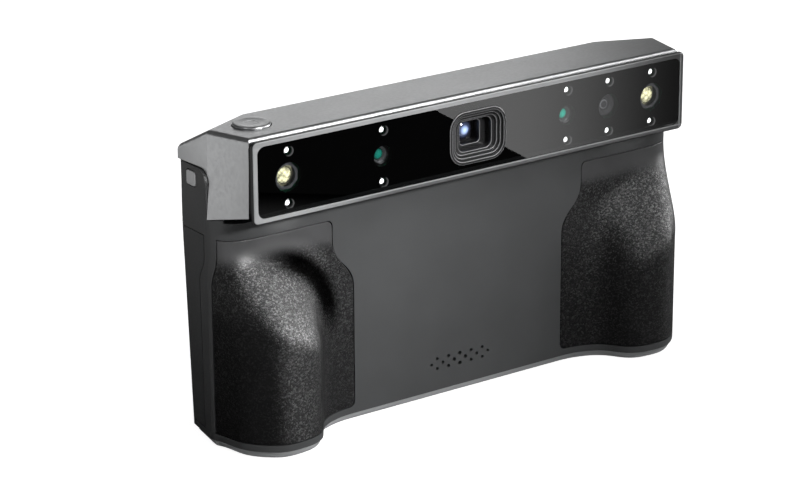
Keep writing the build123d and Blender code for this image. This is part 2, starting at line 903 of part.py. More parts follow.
def make_optical_bench():
    """The rigid angle that carries the cameras, the projector and the lamp board."""
    low = deck_top
    high = head_top - head_wall - bench_margin
    half = bench_width / 2
    solid = block((-half, half), (bench_back_y - bench_thickness, bench_back_y), (crease_z + head_floor + bench_margin, high))
    foot_y = (crease_y + seam_gap, bench_back_y + bench_foot)
    solid += block((-half, half), foot_y, (low, low + bench_thickness))
    solid += block((-half, half), (crease_y + seam_gap, bench_back_y), (low, crease_z + 2 * bench_thickness))
    for x in (-standoff_column, standoff_column):
        for side in (-1, 1):
            solid += disc(x, sensor_z + side * standoff_offset, standoff_radius, board_back_y, bench_y)
    return solid


def scan_levels():
    """Heights of the scan button's flange, its switch and the board under it."""
    flange_top = head_top - head_wall - seam_gap
    switch_top = flange_top - scan_flange_thickness - scan_travel - switch_spare
    board_top = switch_top - switch_height
    return flange_top, switch_top, board_top


def make_scan_button():
    """The round button on the head's top, dished and held by a flange below."""
    flange_top, switch_top, board_top = scan_levels()
    button_y = face_y + scan_setback
    top = head_top + brow_fall() * (ridge_setback - scan_setback) + scan_height
    cap = post(-scan_place, button_y, scan_radius, flange_top - scan_flange_thickness, top)
    cap = chamfer(cap.edges().sort_by(Axis.Z)[-1], scan_edge)
    cap -= post(-scan_place, button_y, scan_dish_radius, top - scan_dish_depth, top + overrun)
    flange = post(-scan_place, button_y, scan_flange_radius, flange_top - scan_flange_thickness, flange_top)
    return cap + flange


def make_scan_switch():
    """The tact switch under the scan button."""
    flange_top, switch_top, board_top = scan_levels()
    button_y = face_y + scan_setback
    half = switch_size / 2
    middle = (switch_top + board_top) / 2
    body = block(
        (-scan_place - half, -scan_place + half), (button_y - half, button_y + half), (board_top, middle)
    )
    return body + post(-scan_place, button_y, switch_size / 4, middle, switch_top)


def make_scan_switch_board():
    """The small board on the head's two posts."""
    flange_top, switch_top, board_top = scan_levels()
    button_y = face_y + scan_setback
    half = switch_board_width / 2
    deep = switch_board_depth / 2
    return block(
        (-scan_place - half, -scan_place + half),
        (button_y - deep, button_y + deep),
        (board_top - board_thickness, board_top),
    )


def power_plane(x):
    """A drawing plane on the left side, with Y across and Z up."""
    origin = (x, face_y + power_setback, body_height - power_drop)
    return Plane(origin=origin, x_dir=(0, 1, 0), z_dir=(1, 0, 0))


def power_stations():
    """Places in X of the power button's flange, its switch and the board behind it."""
    flange = -half_width + shell_wall + seam_gap
    switch_front = flange + power_flange_thickness + power_travel + switch_spare
    return flange, switch_front, switch_front + switch_height


def make_power_button():
    """The square button on the left side, with a flange behind the wall."""
    flange, switch_front, board = power_stations()
    front = -half_width - power_proud
    cap = extrude(power_plane(front) * RectangleRounded(power_width, power_height, power_radius), amount=flange - front)
    cap = fillet(cap.faces().sort_by(Axis.X)[0].edges(), power_gap)
    back = RectangleRounded(power_width + 2 * power_flange, power_height + 2 * power_flange, power_radius)
    return cap + extrude(power_plane(flange) * back, amount=power_flange_thickness)


def make_power_switch():
    """The tact switch behind the power button."""
    flange, switch_front, board = power_stations()
    middle = (switch_front + board) / 2
    body = extrude(power_plane(middle) * Rectangle(switch_size, switch_size), amount=board - middle)
    return body + extrude(power_plane(switch_front) * Circle(switch_size / 4), amount=middle - switch_front)


def make_power_switch_board():
    """The small board that stands on the deck behind the power button."""
    flange, switch_front, board = power_stations()
    middle = face_y + power_setback
    deep = power_board_depth / 2
    return block(
        (board, board + board_thickness), (middle - deep, middle + deep), (deck_top, deck_top + power_board_height)
    )


def make_battery_pack():
    """The battery, laid against the back of the front panel."""
    front = panel_y + shell_wall
    outline = Pos(0, battery_rise + battery_height / 2) * RectangleRounded(battery_width, battery_height, battery_edge)
    return slab(outline, front, front + battery_depth)


def make_main_board():
    """The main board on the body's four posts, with a tab under the charging socket."""
    y_range = (face_y + main_board_setback, face_y + main_board_setback + board_thickness)
    z_range = (main_board_rise, main_board_rise + main_board_height)
    solid = block((-main_board_left, main_board_right), y_range, z_range)
    mouth_x, y, z = usb_place()
    tab = (z - usb_width / 2 - usb_gap, z + usb_width / 2 + usb_gap)
    return solid + block((0, mouth_x - usb_gap), y_range, tab)


def make_heat_sink():
    """A finned plate on the main board."""
    front = face_y + main_board_setback + board_thickness
    half = heat_sink_width / 2
    low = main_board_rise + (main_board_height - heat_sink_height) / 2
    high = low + heat_sink_height
    solid = block((-half, half), (front, front + heat_sink_base), (low, high))
    pitch = (heat_sink_width - fin_thickness) / (fin_count - 1)
    for number in range(fin_count):
        x = -half + number * pitch
        solid += block((x, x + fin_thickness), (front, front + heat_sink_base + fin_height), (low, high))
    return solid


def make_speaker():
    """The flat speaker behind the holes in the panel."""
    front = panel_y + shell_wall
    outline = Pos(0, speaker_rise) * RectangleRounded(speaker_width, speaker_height, speaker_height / 3)
    return slab(outline, front, front + speaker_depth)


def make_usb_socket():
    """The charging socket at the right edge of the main board."""
    mouth_x, y, z = usb_place()
    plane = Plane(origin=(mouth_x - usb_depth, y, z), x_dir=(0, 1, 0), z_dir=(1, 0, 0))
    corner = usb_thickness / 2 - usb_wall
    outer = RectangleRounded(usb_thickness, usb_width, corner)
    inner = RectangleRounded(usb_thickness - 2 * usb_wall, usb_width - 2 * usb_wall, corner - usb_wall)
    tongue = Rectangle(usb_tongue, usb_width - usb_thickness)
    solid = extrude(plane * outer, amount=usb_depth)
    solid -= extrude(plane.offset(usb_wall) * inner, amount=usb_depth)
    return solid + extrude(plane * tongue, amount=usb_depth - usb_wall)


def hinge_place():
    """The hinge line, at the middle of the screen's thickness."""
    return back_y + screen_gap + screen_thickness / 2, body_height - hinge_drop


def hinge_screw_places(sides):
    """The hinge brackets' screws on the given sides, as places in X and Z."""
    axis_y, axis_z = hinge_place()
    start = hinge_barrel_length / 2 + hinge_ear_gap
    inner = start + hinge_ear_width + hinge_screw_margin + screw_head_radius
    outer = start + hinge_flange_width - hinge_screw_margin - screw_head_radius
    middle = axis_z + (hinge_flange_top - hinge_flange_bottom) / 2
    return [(side * place, middle) for side in sides for place in (inner, outer)]


def make_hinge_bracket(side):
    """A hinge ear on a flange that is screwed to the body's back."""
    axis_y, axis_z = hinge_place()
    start = hinge_barrel_length / 2 + hinge_ear_gap
    ear = rod(axis_y, axis_z, hinge_barrel_radius, start, start + hinge_ear_width)
    half = hinge_barrel_radius - fit_clearance
    ear += block((start, start + hinge_ear_width), (back_y, axis_y), (axis_z - half, axis_z + hinge_flange_top))
    flange_z = (axis_z - hinge_flange_bottom, axis_z + hinge_flange_top)
    ear += block((start, start + hinge_flange_width), (back_y, back_y + hinge_flange_thickness), flange_z)
    ear -= rod(axis_y, axis_z, hinge_pin_radius, start - overrun, start + hinge_ear_width + overrun)
    for x, z in hinge_screw_places((1,)):
        ear -= disc(x, z, screw_radius + fit_clearance, back_y - overrun, back_y + overrun)
    if side < 0:
        ear = mirror(ear, about=Plane.YZ)
    return ear


def make_hinge_pin(side):
    """A pin pressed through a bracket's ear, on which the screen's barrel turns."""
    axis_y, axis_z = hinge_place()
    start = hinge_barrel_length / 2 - hinge_pin_depth
    end = hinge_barrel_length / 2 + hinge_ear_gap + hinge_ear_width
    pin = rod(axis_y, axis_z, hinge_pin_radius, start, end)
    if side < 0:
        pin = mirror(pin, about=Plane.YZ)
    return pin


def make_hinge_screws():
    """The hinge brackets' screws, driven from behind."""
    face = back_y + hinge_flange_thickness + screw_head_height
    length = hinge_flange_thickness + shell_wall - seam_gap
    return [Pos(x, face, z) * Rot(90, 0, 0) * screw(length) for x, z in hinge_screw_places((-1, 1))]


def screen_outline(margin):
    """The screen's rounded outline, drawn in by a margin."""
    axis_y, axis_z = hinge_place()
    middle = axis_z - hinge_neck - screen_height / 2
    radius = max(screen_corner_radius - margin, screen_edge_radius)
    return Pos(0, middle) * RectangleRounded(screen_width - 2 * margin, screen_height - 2 * margin, radius)


def screen_stations():
    """Places in Y of the screen's inner face, its display and its outer face."""
    inner = back_y + screen_gap
    outer = inner + screen_thickness
    return inner, outer - screen_glass_thickness - display_thickness, outer - screen_glass_thickness, outer


def make_screen_case():
    """The screen's tray, with the hinge barrel along its top."""
    inner, display, glass, outer = screen_stations()
    axis_y, axis_z = hinge_place()
    solid = slab(screen_outline(0), inner, outer)
    solid = fillet(solid.faces().sort_by(Axis.Y)[0].edges(), screen_edge_radius)
    solid -= slab(screen_outline(screen_glass_margin), glass, outer + overrun)
    solid -= slab(screen_outline(display_margin / 2), inner + screen_wall, outer + overrun)
    half = hinge_barrel_length / 2
    solid += rod(axis_y, axis_z, hinge_barrel_radius, -half, half)
    web_y = (axis_y - hinge_web_thickness / 2, axis_y + hinge_web_thickness / 2)
    web = block((-half, half), web_y, (axis_z - hinge_neck - screen_wall, axis_z))
    solid += web
    for side in (-1, 1):
        ends = sorted((side * (half - hinge_pin_depth - seam_gap), side * (half + overrun)))
        solid -= rod(axis_y, axis_z, hinge_pin_radius + fit_clearance, *ends)
    return solid


def make_display_panel():
    """The display, fixed to the back of its glass."""
    inner, display, glass, outer = screen_stations()
    return slab(screen_outline(display_margin), display, glass)


def make_screen_glass():
    """The touch glass over the display."""
    inner, display, glass, outer = screen_stations()
    return slab(screen_outline(screen_glass_margin + glass_clearance), glass, outer)


def make_screen_board():
    """The display's driver board, on the tray's floor."""
    inner, display, glass, outer = screen_stations()
    axis_y, axis_z = hinge_place()
    middle = axis_z - hinge_neck - screen_height / 2
    outline = Pos(0, middle) * Rectangle(screen_board_width, screen_board_height)
    return slab(outline, inner + screen_wall, inner + screen_wall + screen_board_thickness)


def save(name, shape):
    """Write one piece, or a group of like pieces, under its name."""
    if isinstance(shape, list):
        shape = Compound(children=shape)
    export_step(shape, "parts/" + name + ".step")


save("main_shell", make_main_shell())
save("rear_cover", make_rear_cover())
save("base_plate", make_base_plate())
save("tripod_bush", make_tripod_bush())
save("case_screws", make_case_screws())
save("base_screws", make_base_screws())
save("head_housing", make_head_housing())
save("window_bezel", make_window_bezel())
save("window_gasket", make_window_gasket())
save("window_glass", make_window_glass())
save("window_mask", make_window_mask())
save("led_board", make_led_board())
save("optical_bench", make_optical_bench())
save("projector_hood", make_projector_hood())
save("projector_lens", make_projector_lens())
save("projector_engine", make_projector_engine())
save("colour_camera", make_camera(colour_column))
save("colour_lens", make_camera_lens(colour_column))
for side_name, column in depth_columns.items():
    save("depth_camera_" + side_name, make_camera(column))
    save("depth_lens_" + side_name, make_camera_lens(column))
for side_name, column in flash_columns.items():
    save("flash_ring_" + side_name, make_flash_ring(column))
    save("flash_lens_" + side_name, make_flash_lens(column))
for number, column in enumerate(sensor_columns, 1):
    save(f"spot_led_upper_{number}", make_spot_led(column, sensor_z + led_offset))
    save(f"spot_led_lower_{number}", make_spot_led(column, sensor_z - led_offset))
save("scan_button", make_scan_button())
save("scan_switch", make_scan_switch())
save("scan_switch_board", make_scan_switch_board())
save("power_button", make_power_button())
save("power_switch", make_power_switch())
save("power_switch_board", make_power_switch_board())
save("battery_pack", make_battery_pack())
save("main_board", make_main_board())
save("heat_sink", make_heat_sink())
save("speaker", make_speaker())
save("usb_socket", make_usb_socket())
for side_name, side in (("left", -1), ("right", 1)):
    save("grip_pad_" + side_name, make_grip_pad(side))
    save("hinge_bracket_" + side_name, make_hinge_bracket(side))
    save("hinge_pin_" + side_name, make_hinge_pin(side))
save("hinge_screws", make_hinge_screws())
save("screen_case", make_screen_case())
save("display_panel", make_display_panel())
save("screen_glass", make_screen_glass())
save("screen_board", make_screen_board())
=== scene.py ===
import math

import bmesh
import bpy
import numpy as np
from bpy.props import FloatProperty, FloatVectorProperty, PointerProperty
from mathutils import Matrix, Vector


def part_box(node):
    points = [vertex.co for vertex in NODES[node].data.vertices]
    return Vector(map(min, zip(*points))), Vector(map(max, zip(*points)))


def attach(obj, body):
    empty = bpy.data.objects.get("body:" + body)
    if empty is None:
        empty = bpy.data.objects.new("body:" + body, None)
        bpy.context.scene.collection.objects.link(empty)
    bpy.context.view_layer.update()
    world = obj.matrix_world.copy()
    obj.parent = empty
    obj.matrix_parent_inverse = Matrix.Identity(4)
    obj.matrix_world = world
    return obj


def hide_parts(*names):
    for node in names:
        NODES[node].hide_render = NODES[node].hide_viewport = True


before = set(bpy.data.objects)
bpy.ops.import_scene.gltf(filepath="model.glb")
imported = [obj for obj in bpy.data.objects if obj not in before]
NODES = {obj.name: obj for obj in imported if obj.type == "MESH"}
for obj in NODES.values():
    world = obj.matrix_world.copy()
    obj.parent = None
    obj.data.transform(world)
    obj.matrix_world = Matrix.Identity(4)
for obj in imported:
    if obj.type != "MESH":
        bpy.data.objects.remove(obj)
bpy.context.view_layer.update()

bl_info = {
    "name": "Handheld Scanner Dresser",
    "version": (1, 0, 0),
    "blender": (4, 5, 0),
    "location": "View3D > Sidebar > Scanner",
    "description": "Dresses the solids of a two-handed scanner with its finishes and fine pieces",
    "category": "Object",
}

MM = 0.001
BLACK = (0.0, 0.0, 0.0)
WHITE = (1.0, 1.0, 1.0)


# Settings

class ScannerFinish(bpy.types.PropertyGroup):
    """Colours of the scanner's surfaces."""

    shell: FloatVectorProperty(
        name="Shell", description="Graphite paint of the body", subtype="COLOR",
        size=3, min=0, max=1, default=(0.038, 0.039, 0.04))
    cover: FloatVectorProperty(
        name="Rear cover", description="Paint of the lid behind", subtype="COLOR",
        size=3, min=0, max=1, default=(0.034, 0.035, 0.036))
    head: FloatVectorProperty(
        name="Head", description="Blasted metal of the head", subtype="COLOR",
        size=3, min=0, max=1, default=(0.43, 0.435, 0.44))
    bezel: FloatVectorProperty(
        name="Bezel", description="Metal of the window's frame", subtype="COLOR",
        size=3, min=0, max=1, default=(0.3, 0.304, 0.308))
    base: FloatVectorProperty(
        name="Base", description="Metal of the foot", subtype="COLOR",
        size=3, min=0, max=1, default=(0.33, 0.335, 0.34))
    rubber: FloatVectorProperty(
        name="Rubber", description="Rubber of the grip pads", subtype="COLOR",
        size=3, min=0, max=1, default=(0.006, 0.006, 0.0062))
    flash: FloatVectorProperty(
        name="Flash", description="Phosphor of the flash lamps", subtype="COLOR",
        size=3, min=0, max=1, default=(0.95, 0.9, 0.55))
    coating: FloatVectorProperty(
        name="Lens coating", description="Tint of the depth cameras' lenses", subtype="COLOR",
        size=3, min=0, max=1, default=(0.02, 0.42, 0.3))


class ScannerDetail(bpy.types.PropertyGroup):
    """Sizes of the fine detail."""

    edge: FloatProperty(
        name="Edge break", description="Rounding of the scan button's edge", unit="LENGTH",
        subtype="DISTANCE", min=0.0001, max=0.001, default=0.0006)
    pebble: FloatProperty(
        name="Pebble", description="Width of one pebble of the rubber", unit="LENGTH",
        subtype="DISTANCE", min=0.0002, max=0.003, default=0.00045)
    pebble_depth: FloatProperty(
        name="Pebble depth", description="Height of the rubber's pebbles", unit="LENGTH",
        subtype="DISTANCE", min=0.0, max=0.001, default=0.00012)
    pad_wall: FloatProperty(
        name="Pad wall", description="Thickness of the grip pads", unit="LENGTH",
        subtype="DISTANCE", min=0.0004, max=0.0015, default=0.0012)
    smooth_angle: FloatProperty(
        name="Smooth angle", description="The scan button's edges sharper than this stay sharp",
        subtype="ANGLE", min=0.0, max=math.pi, default=math.radians(32))


class ScannerStage(bpy.types.PropertyGroup):
    """Light, floor and camera."""

    lens: FloatProperty(
        name="Lens", description="Focal length of the camera", unit="CAMERA", default=136.33)
    key_power: FloatProperty(
        name="Key", description="Power of the long lamp above the front",
        unit="POWER", default=5.0)
    back_power: FloatProperty(
        name="Back", description="Power of the lamp behind, which the head's top mirrors",
        unit="POWER", default=0.7)
    right_power: FloatProperty(
        name="Right", description="Power of the box at the right, which the grips mirror",
        unit="POWER", default=10.0)
    left_power: FloatProperty(
        name="Left", description="Power of the box at the upper left", unit="POWER", default=0.9)
    front_power: FloatProperty(
        name="Front", description="Power of the low box in front", unit="POWER", default=0.6)
    panel_power: FloatProperty(
        name="Panel", description="Power of the narrow lamp on the front panel",
        unit="POWER", default=130.0)
    surround: FloatProperty(
        name="Surround", description="Strength of the light from all round",
        min=0, max=1, default=0.1)
    floor: FloatVectorProperty(
        name="Floor", description="Colour of the floor", subtype="COLOR",
        size=3, min=0, max=1, default=(0.92, 0.92, 0.92))
    mirrored: FloatProperty(
        name="Mirrored", description="Strength of the surround in mirrors",
        min=0, max=1, default=0.08)
    floor_glow: FloatProperty(
        name="Floor glow", description="Brightness of the floor in mirrors",
        min=0, max=2, default=1.1)


# Objects and meshes

MERGE_DISTANCE = 0.002 * MM
FLAT_ANGLE = math.radians(0.3)
SHARP_ANGLE = math.radians(35)
ROUNDED_ANGLE = math.radians(40)
ROUND_SIDES = 128


def clear_selection():
    """Nothing is selected or active."""
    if bpy.context.mode != "OBJECT":
        end_edit()
    bpy.ops.object.select_all(action="DESELECT")
    bpy.context.view_layer.objects.active = None


def take(piece):
    """Only this piece is selected and active."""
    clear_selection()
    piece.select_set(True)
    bpy.context.view_layer.objects.active = piece


def edit_all(piece):
    """Edit mode, with all of the piece's mesh selected."""
    take(piece)
    bpy.ops.object.mode_set(mode="EDIT")
    bpy.ops.mesh.select_all(action="SELECT")


def end_edit():
    """Back to object mode."""
    bpy.ops.object.mode_set(mode="OBJECT")


def added(name):
    """The primitive just added, under its name."""
    piece = bpy.context.active_object
    piece.name = name
    piece.data.name = name
    return piece


def linked(name, data):
    """A new object in the scene, with its data."""
    piece = bpy.data.objects.new(name, data)
    bpy.context.scene.collection.objects.link(piece)
    return piece


def settle(piece):
    """The piece's place goes into its mesh."""
    take(piece)
    bpy.ops.object.transform_apply(location=True, rotation=True, scale=True)


def join(piece, other):
    """The other piece becomes part of the first."""
    take(piece)
    other.select_set(True)
    bpy.ops.object.join()


def apply_all(piece):
    """Every modifier becomes part of the mesh."""
    take(piece)
    for modifier in list(piece.modifiers):
        bpy.ops.object.modifier_apply(modifier=modifier.name)


def smooth(piece, angle):
    """Smooth shading, with the sharper edges kept."""
    take(piece)
    bpy.ops.object.shade_smooth_by_angle(angle=angle)


def copy_of(node, name):
    """A merged copy of a solid's mesh, to be refined."""
    mesh = NODES[node].data.copy()
    mesh.name = name
    piece = linked(name, mesh)
    edit_all(piece)
    bpy.ops.mesh.remove_doubles(threshold=MERGE_DISTANCE)
    end_edit()
    return piece


def flatten_faces(piece):
    """Triangles that lie in one plane become one face."""
    edit_all(piece)
    bpy.ops.mesh.dissolve_limited(angle_limit=FLAT_ANGLE, delimit={"SHARP"})
    end_edit()


def break_edges(piece, width, segments, angle):
    """A small rounding on every sharp edge."""
    bevel = piece.modifiers.new("edge_break", "BEVEL")
    bevel.width = width
    bevel.segments = segments
    bevel.limit_method = "ANGLE"
    bevel.angle_limit = angle
    bevel.use_clamp_overlap = True
    bevel.miter_outer = "MITER_ARC"
    apply_all(piece)


def rim_edges(piece, width):
    """Every sharp outer edge gets a narrow rim, which takes the piece's second material, a paler
    painted highlight.
    """
    form = bmesh.new()
    form.from_mesh(piece.data)
    weight = form.edges.layers.float.new("bevel_weight_edge")
    for edge in form.edges:
        outer = len(edge.link_faces) == 2 and edge.is_convex
        if outer and edge.calc_face_angle() > SHARP_ANGLE:
            edge[weight] = 1.0
    form.to_mesh(piece.data)
    form.free()
    bevel = piece.modifiers.new("rim", "BEVEL")
    bevel.width = width
    bevel.segments = 2
    bevel.limit_method = "WEIGHT"
    bevel.material = 1
    apply_all(piece)
    smooth(piece, ROUNDED_ANGLE)


def refined(node, name, width, segments=2):
    """A copy of a solid with its sharp edges rounded."""
    piece = copy_of(node, name)
    flatten_faces(piece)
    break_edges(piece, width, segments, SHARP_ANGLE)
    smooth(piece, ROUNDED_ANGLE)
    return piece


def finish_piece(piece, body, material, slot, *nodes):
    """The piece gets its finish, rides its body and stands for its solids."""
    piece.data.materials.clear()
    piece.data.materials.append(material)
    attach(piece, body)
    if nodes:
        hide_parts(*nodes)


def paint(material, *nodes):
    """A finish on solids that keep their own mesh."""
    for node in nodes:
        solid = NODES[node]
        solid.data.materials.clear()
        solid.data.materials.append(material)


def middle_of(node):
    """The middle of a solid's box."""
    low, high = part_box(node)
    return (low + high) / 2


def half_width(node):
    """Half of a solid's width along X."""
    low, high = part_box(node)
    return (high[0] - low[0]) / 2


# Finishes

def fill(tree, socket, value):
    """A socket gets its value or its link."""
    if isinstance(value, bpy.types.NodeSocket):
        tree.links.new(value, socket)
    else:
        socket.default_value = value


def mix_shaders(tree, factor, first, second):
    """Two shaders mixed by a factor."""
    mix = tree.nodes.new("ShaderNodeMixShader")
    fill(tree, mix.inputs["Fac"], factor)
    tree.links.new(first, mix.inputs[1])
    tree.links.new(second, mix.inputs[2])
    return mix.outputs[0]


def grey(level):
    """A plain grey."""
    return (level, level, level)


def shade(colour, factor):
    """A colour made lighter or darker."""
    return tuple(min(1.0, part * factor) for part in colour)


class Finish:
    """A node material in the making."""

    def __init__(self, name, rough, metal=0.0):
        self.material = bpy.data.materials.new(name)
        self.material.use_nodes = True
        self.tree = self.material.node_tree
        self.shader = self.tree.nodes["Principled BSDF"]
        self.put("Roughness", rough)
        self.put("Metallic", metal)
        self.place = self.node("ShaderNodeTexCoord").outputs["Object"]

    def node(self, kind, **inputs):
        """A new node with its sockets set or linked."""
        made = self.tree.nodes.new(kind)
        for key, value in inputs.items():
            fill(self.tree, made.inputs[key.replace("_", " ")], value)
        return made

    def put(self, target, value):
        """A plain value on one of the shader's sockets."""
        self.shader.inputs[target].default_value = value

    def feed(self, source, target):
        """A link into one of the shader's sockets."""
        self.tree.links.new(source, self.shader.inputs[target])

    def surface(self, shader):
        """Another shader takes the whole surface."""
        self.tree.links.new(shader, self.tree.nodes["Material Output"].inputs["Surface"])

    def axis(self, letter):
        """One coordinate of the place on the surface."""
        return self.node("ShaderNodeSeparateXYZ", Vector=self.place).outputs[letter]

    def noise(self, scale, detail=2.0, rough=0.5):
        """Soft noise with that many waves to the metre."""
        made = self.node(
            "ShaderNodeTexNoise", Vector=self.place, Scale=scale, Detail=detail, Roughness=rough)
        return made.outputs["Fac"]

    def cells(self, scale, smoothness=0.0):
        """Cells with that many to the metre, rounded where a smoothness is given."""
        made = self.node("ShaderNodeTexVoronoi", Vector=self.place, Scale=scale)
        if smoothness:
            made.feature = "SMOOTH_F1"
            made.inputs["Smoothness"].default_value = smoothness
        return made.outputs["Distance"]

    def math(self, operation, first, second):
        """One sum on two values."""
        made = self.tree.nodes.new("ShaderNodeMath")
        made.operation = operation
        fill(self.tree, made.inputs[0], first)
        fill(self.tree, made.inputs[1], second)
        return made.outputs[0]

    def times(self, product, *factors):
        """The product of some values."""
        for factor in factors:
            product = self.math("MULTIPLY", product, factor)
        return product

    def rest(self, share):
        """What a share leaves of the whole."""
        return self.math("SUBTRACT", 1.0, share)

    def span(self, value, low, high, low_out=0.0, high_out=1.0, kind="SMOOTHSTEP"):
        """A value stretched from one span to another."""
        made = self.tree.nodes.new("ShaderNodeMapRange")
        made.interpolation_type = kind
        self.tree.links.new(value, made.inputs["Value"])
        ends = {"From Min": low, "From Max": high, "To Min": low_out, "To Max": high_out}
        for key, number in ends.items():
            made.inputs[key].default_value = number
        return made.outputs["Result"]

    def rise(self, value, band, most=1.0, origin=0.0):
        """From nothing to the most over a band in millimetres, counted from an origin."""
        return self.span(value, origin + band[0] * MM, origin + band[1] * MM, 0.0, most)

    def fall(self, value, band, most=1.0, origin=0.0):
        """From the most to nothing over a band in millimetres, counted from an origin."""
        return self.span(value, origin + band[0] * MM, origin + band[1] * MM, most, 0.0)

    def ramp(self, value, *stops):
        """Colours along a value."""
        made = self.tree.nodes.new("ShaderNodeValToRGB")
        elements = made.color_ramp.elements
        while len(elements) < len(stops):
            elements.new(0.5)
        for element, (place, colour) in zip(elements, stops):
            element.position = place
            element.color = (*colour, 1.0)
        self.tree.links.new(value, made.inputs["Fac"])
        return made.outputs["Color"]

    def clouded(self, colour, scale, spread, detail=3.0, low=0.3, high=0.7):
        """A colour with a soft cloud in it, darker and lighter by a spread."""
        dark, pale = shade(colour, 1.0 - spread), shade(colour, 1.0 + spread)
        return self.ramp(self.noise(scale, detail), (low, dark), (high, pale))

    def grained(self, rough, scale, less, more, detail=3.0):
        """A roughness that a fine grain lowers and raises."""
        grain = self.noise(scale, detail)
        self.feed(self.span(grain, 0.25, 0.75, rough - less, rough + more), "Roughness")

    def lit(self, colour, glow):
        """A colour with a light of its own."""
        self.feed(colour, "Base Color")
        self.feed(colour, "Emission Color")
        self.put("Emission Strength", glow)

    def bump(self, height, depth, strength):
        """Relief of that depth in metres."""
        made = self.node("ShaderNodeBump", Height=height, Distance=depth, Strength=strength)
        self.feed(made.outputs["Normal"], "Normal")


def satin_paint(name, colour, rough=0.42):
    """Fine satin paint: a faint cloud in the colour, and a fine orange-peel grain."""
    made = Finish(name, rough)
    made.feed(made.clouded(colour, scale=60.0, spread=0.08), "Base Color")
    made.grained(rough, scale=1800.0, less=0.05, more=0.06)
    made.bump(made.noise(scale=2600.0), depth=0.02 * MM, strength=0.6)
    return made.material


def blasted_metal(name, colour, rough=0.36, metal=1.0):
    """Bead-blasted metal: a fine even grain, with a faint cloud in its gloss."""
    made = Finish(name, rough, metal)
    made.feed(made.clouded(colour, scale=45.0, spread=0.05), "Base Color")
    made.grained(rough, scale=900.0, less=0.05, more=0.05, detail=4.0)
    made.bump(made.noise(scale=5200.0), depth=0.012 * MM, strength=0.5)
    return made.material


# The bezel's bands in millimetres, and the share of the colour that each takes away. The shade
# along the bottom and at the right is painted shade, and the bright line along the inner edge is
# a painted highlight that lifts it
BEZEL_RIM = 1.8
WALL_BAND, WALL_SHARE = (0.17, 0.27), 0.95
TOP_BAND, TOP_SHARE = (-0.5, 0.0), 0.15
SHADE_BELOW_BAND, SHADE_BELOW_ACROSS, SHADE_BELOW_SHARE = (0.0, 0.3), (-80.0, -30.0), 0.72
SHADE_RIGHT_FROM, SHADE_RIGHT_INSET, SHADE_RIGHT_SHARE = 40.0, 2.0, 0.75
HIGHLIGHT_RISE, HIGHLIGHT_FALL, HIGHLIGHT_SHARE = (-0.1, 0.0), (0.3, 0.5), 0.8


def framed_metal(name, colour, low, high):
    """Silver paint with painted shade along the bottom and at the right, a bright inner edge as a
    painted highlight, a little darker along the top, and a black wall.
    """
    made = Finish(name, rough=0.32, metal=0.3)
    across, up = made.axis("X"), made.axis("Z")
    rim = BEZEL_RIM * MM
    wall = made.rise(made.axis("Y"), WALL_BAND, WALL_SHARE, low[1])
    top = made.rise(up, TOP_BAND, TOP_SHARE, high[2] - rim)
    # Painted shade along the bottom bar and towards the right end
    shade_below = made.fall(up, SHADE_BELOW_BAND, SHADE_BELOW_SHARE, low[2] + rim)
    shade_below = made.times(shade_below, made.rise(across, SHADE_BELOW_ACROSS))
    right = made.span(across, SHADE_RIGHT_FROM * MM, high[0] - SHADE_RIGHT_INSET * MM, 0.0, SHADE_RIGHT_SHARE)
    # The bright inner line is a painted highlight, which lifts the painted shade
    lines = []
    for value, place, turn in ((up, low[2] + rim, -1.0), (across, high[0] - rim, 1.0)):
        into = made.times(made.math("SUBTRACT", value, place), turn)
        lines.append(made.times(made.rise(into, HIGHLIGHT_RISE), made.fall(into, HIGHLIGHT_FALL)))
    line = made.times(made.math("MAXIMUM", *lines), HIGHLIGHT_SHARE)
    dull_shade = made.times(made.math("MAXIMUM", shade_below, right), made.rest(line))
    tone = made.span(made.noise(scale=60.0, detail=3.0), 0.3, 0.7, 0.95, 1.05)
    tone = made.times(tone, made.rest(top), made.rest(wall), made.rest(dull_shade))
    made.feed(made.ramp(tone, (0.0, BLACK), (1.0, colour)), "Base Color")
    made.bump(made.noise(scale=6000.0), depth=0.008 * MM, strength=0.4)
    return made.material


def brushed_metal(name, colour, rough=0.3):
    """Drawn metal with fine lines along X."""
    made = Finish(name, rough, metal=1.0)
    stretch = made.node("ShaderNodeMapping", Vector=made.place, Scale=(0.04, 1.0, 1.0))
    lines = made.node(
        "ShaderNodeTexNoise", Vector=stretch.outputs["Vector"], Scale=4200.0, Detail=2.0)
    lines = lines.outputs["Fac"]
    stops = (0.25, shade(colour, 0.88)), (0.75, shade(colour, 1.1))
    made.feed(made.ramp(lines, *stops), "Base Color")
    made.feed(made.span(lines, 0.2, 0.8, rough - 0.06, rough + 0.08), "Roughness")
    made.bump(lines, depth=0.006 * MM, strength=0.5)
    return made.material


def matt_plastic(name, colour, rough=0.6):
    """Moulded plastic with a fine spark-eroded grain."""
    made = Finish(name, rough)
    made.feed(made.clouded(colour, scale=80.0, spread=0.1), "Base Color")
    made.grained(rough, scale=1500.0, less=0.06, more=0.06)
    made.bump(made.noise(scale=3200.0), depth=0.03 * MM, strength=0.5)
    return made.material


def nearest(made, places):
    """The distance to the nearest of some places, seen from the front."""
    flat = made.node("ShaderNodeVectorMath", Vector=made.place)
    flat.operation = "MULTIPLY"
    flat.inputs[1].default_value = (1.0, 0.0, 1.0)
    least = None
    for x, z in places:
        away = made.node("ShaderNodeVectorMath", Vector=flat.outputs["Vector"])
        away.operation = "DISTANCE"
        away.inputs[1].default_value = (x, 0.0, z)
        away = away.outputs["Value"]
        least = away if least is None else made.math("MINIMUM", least, away)
    return least
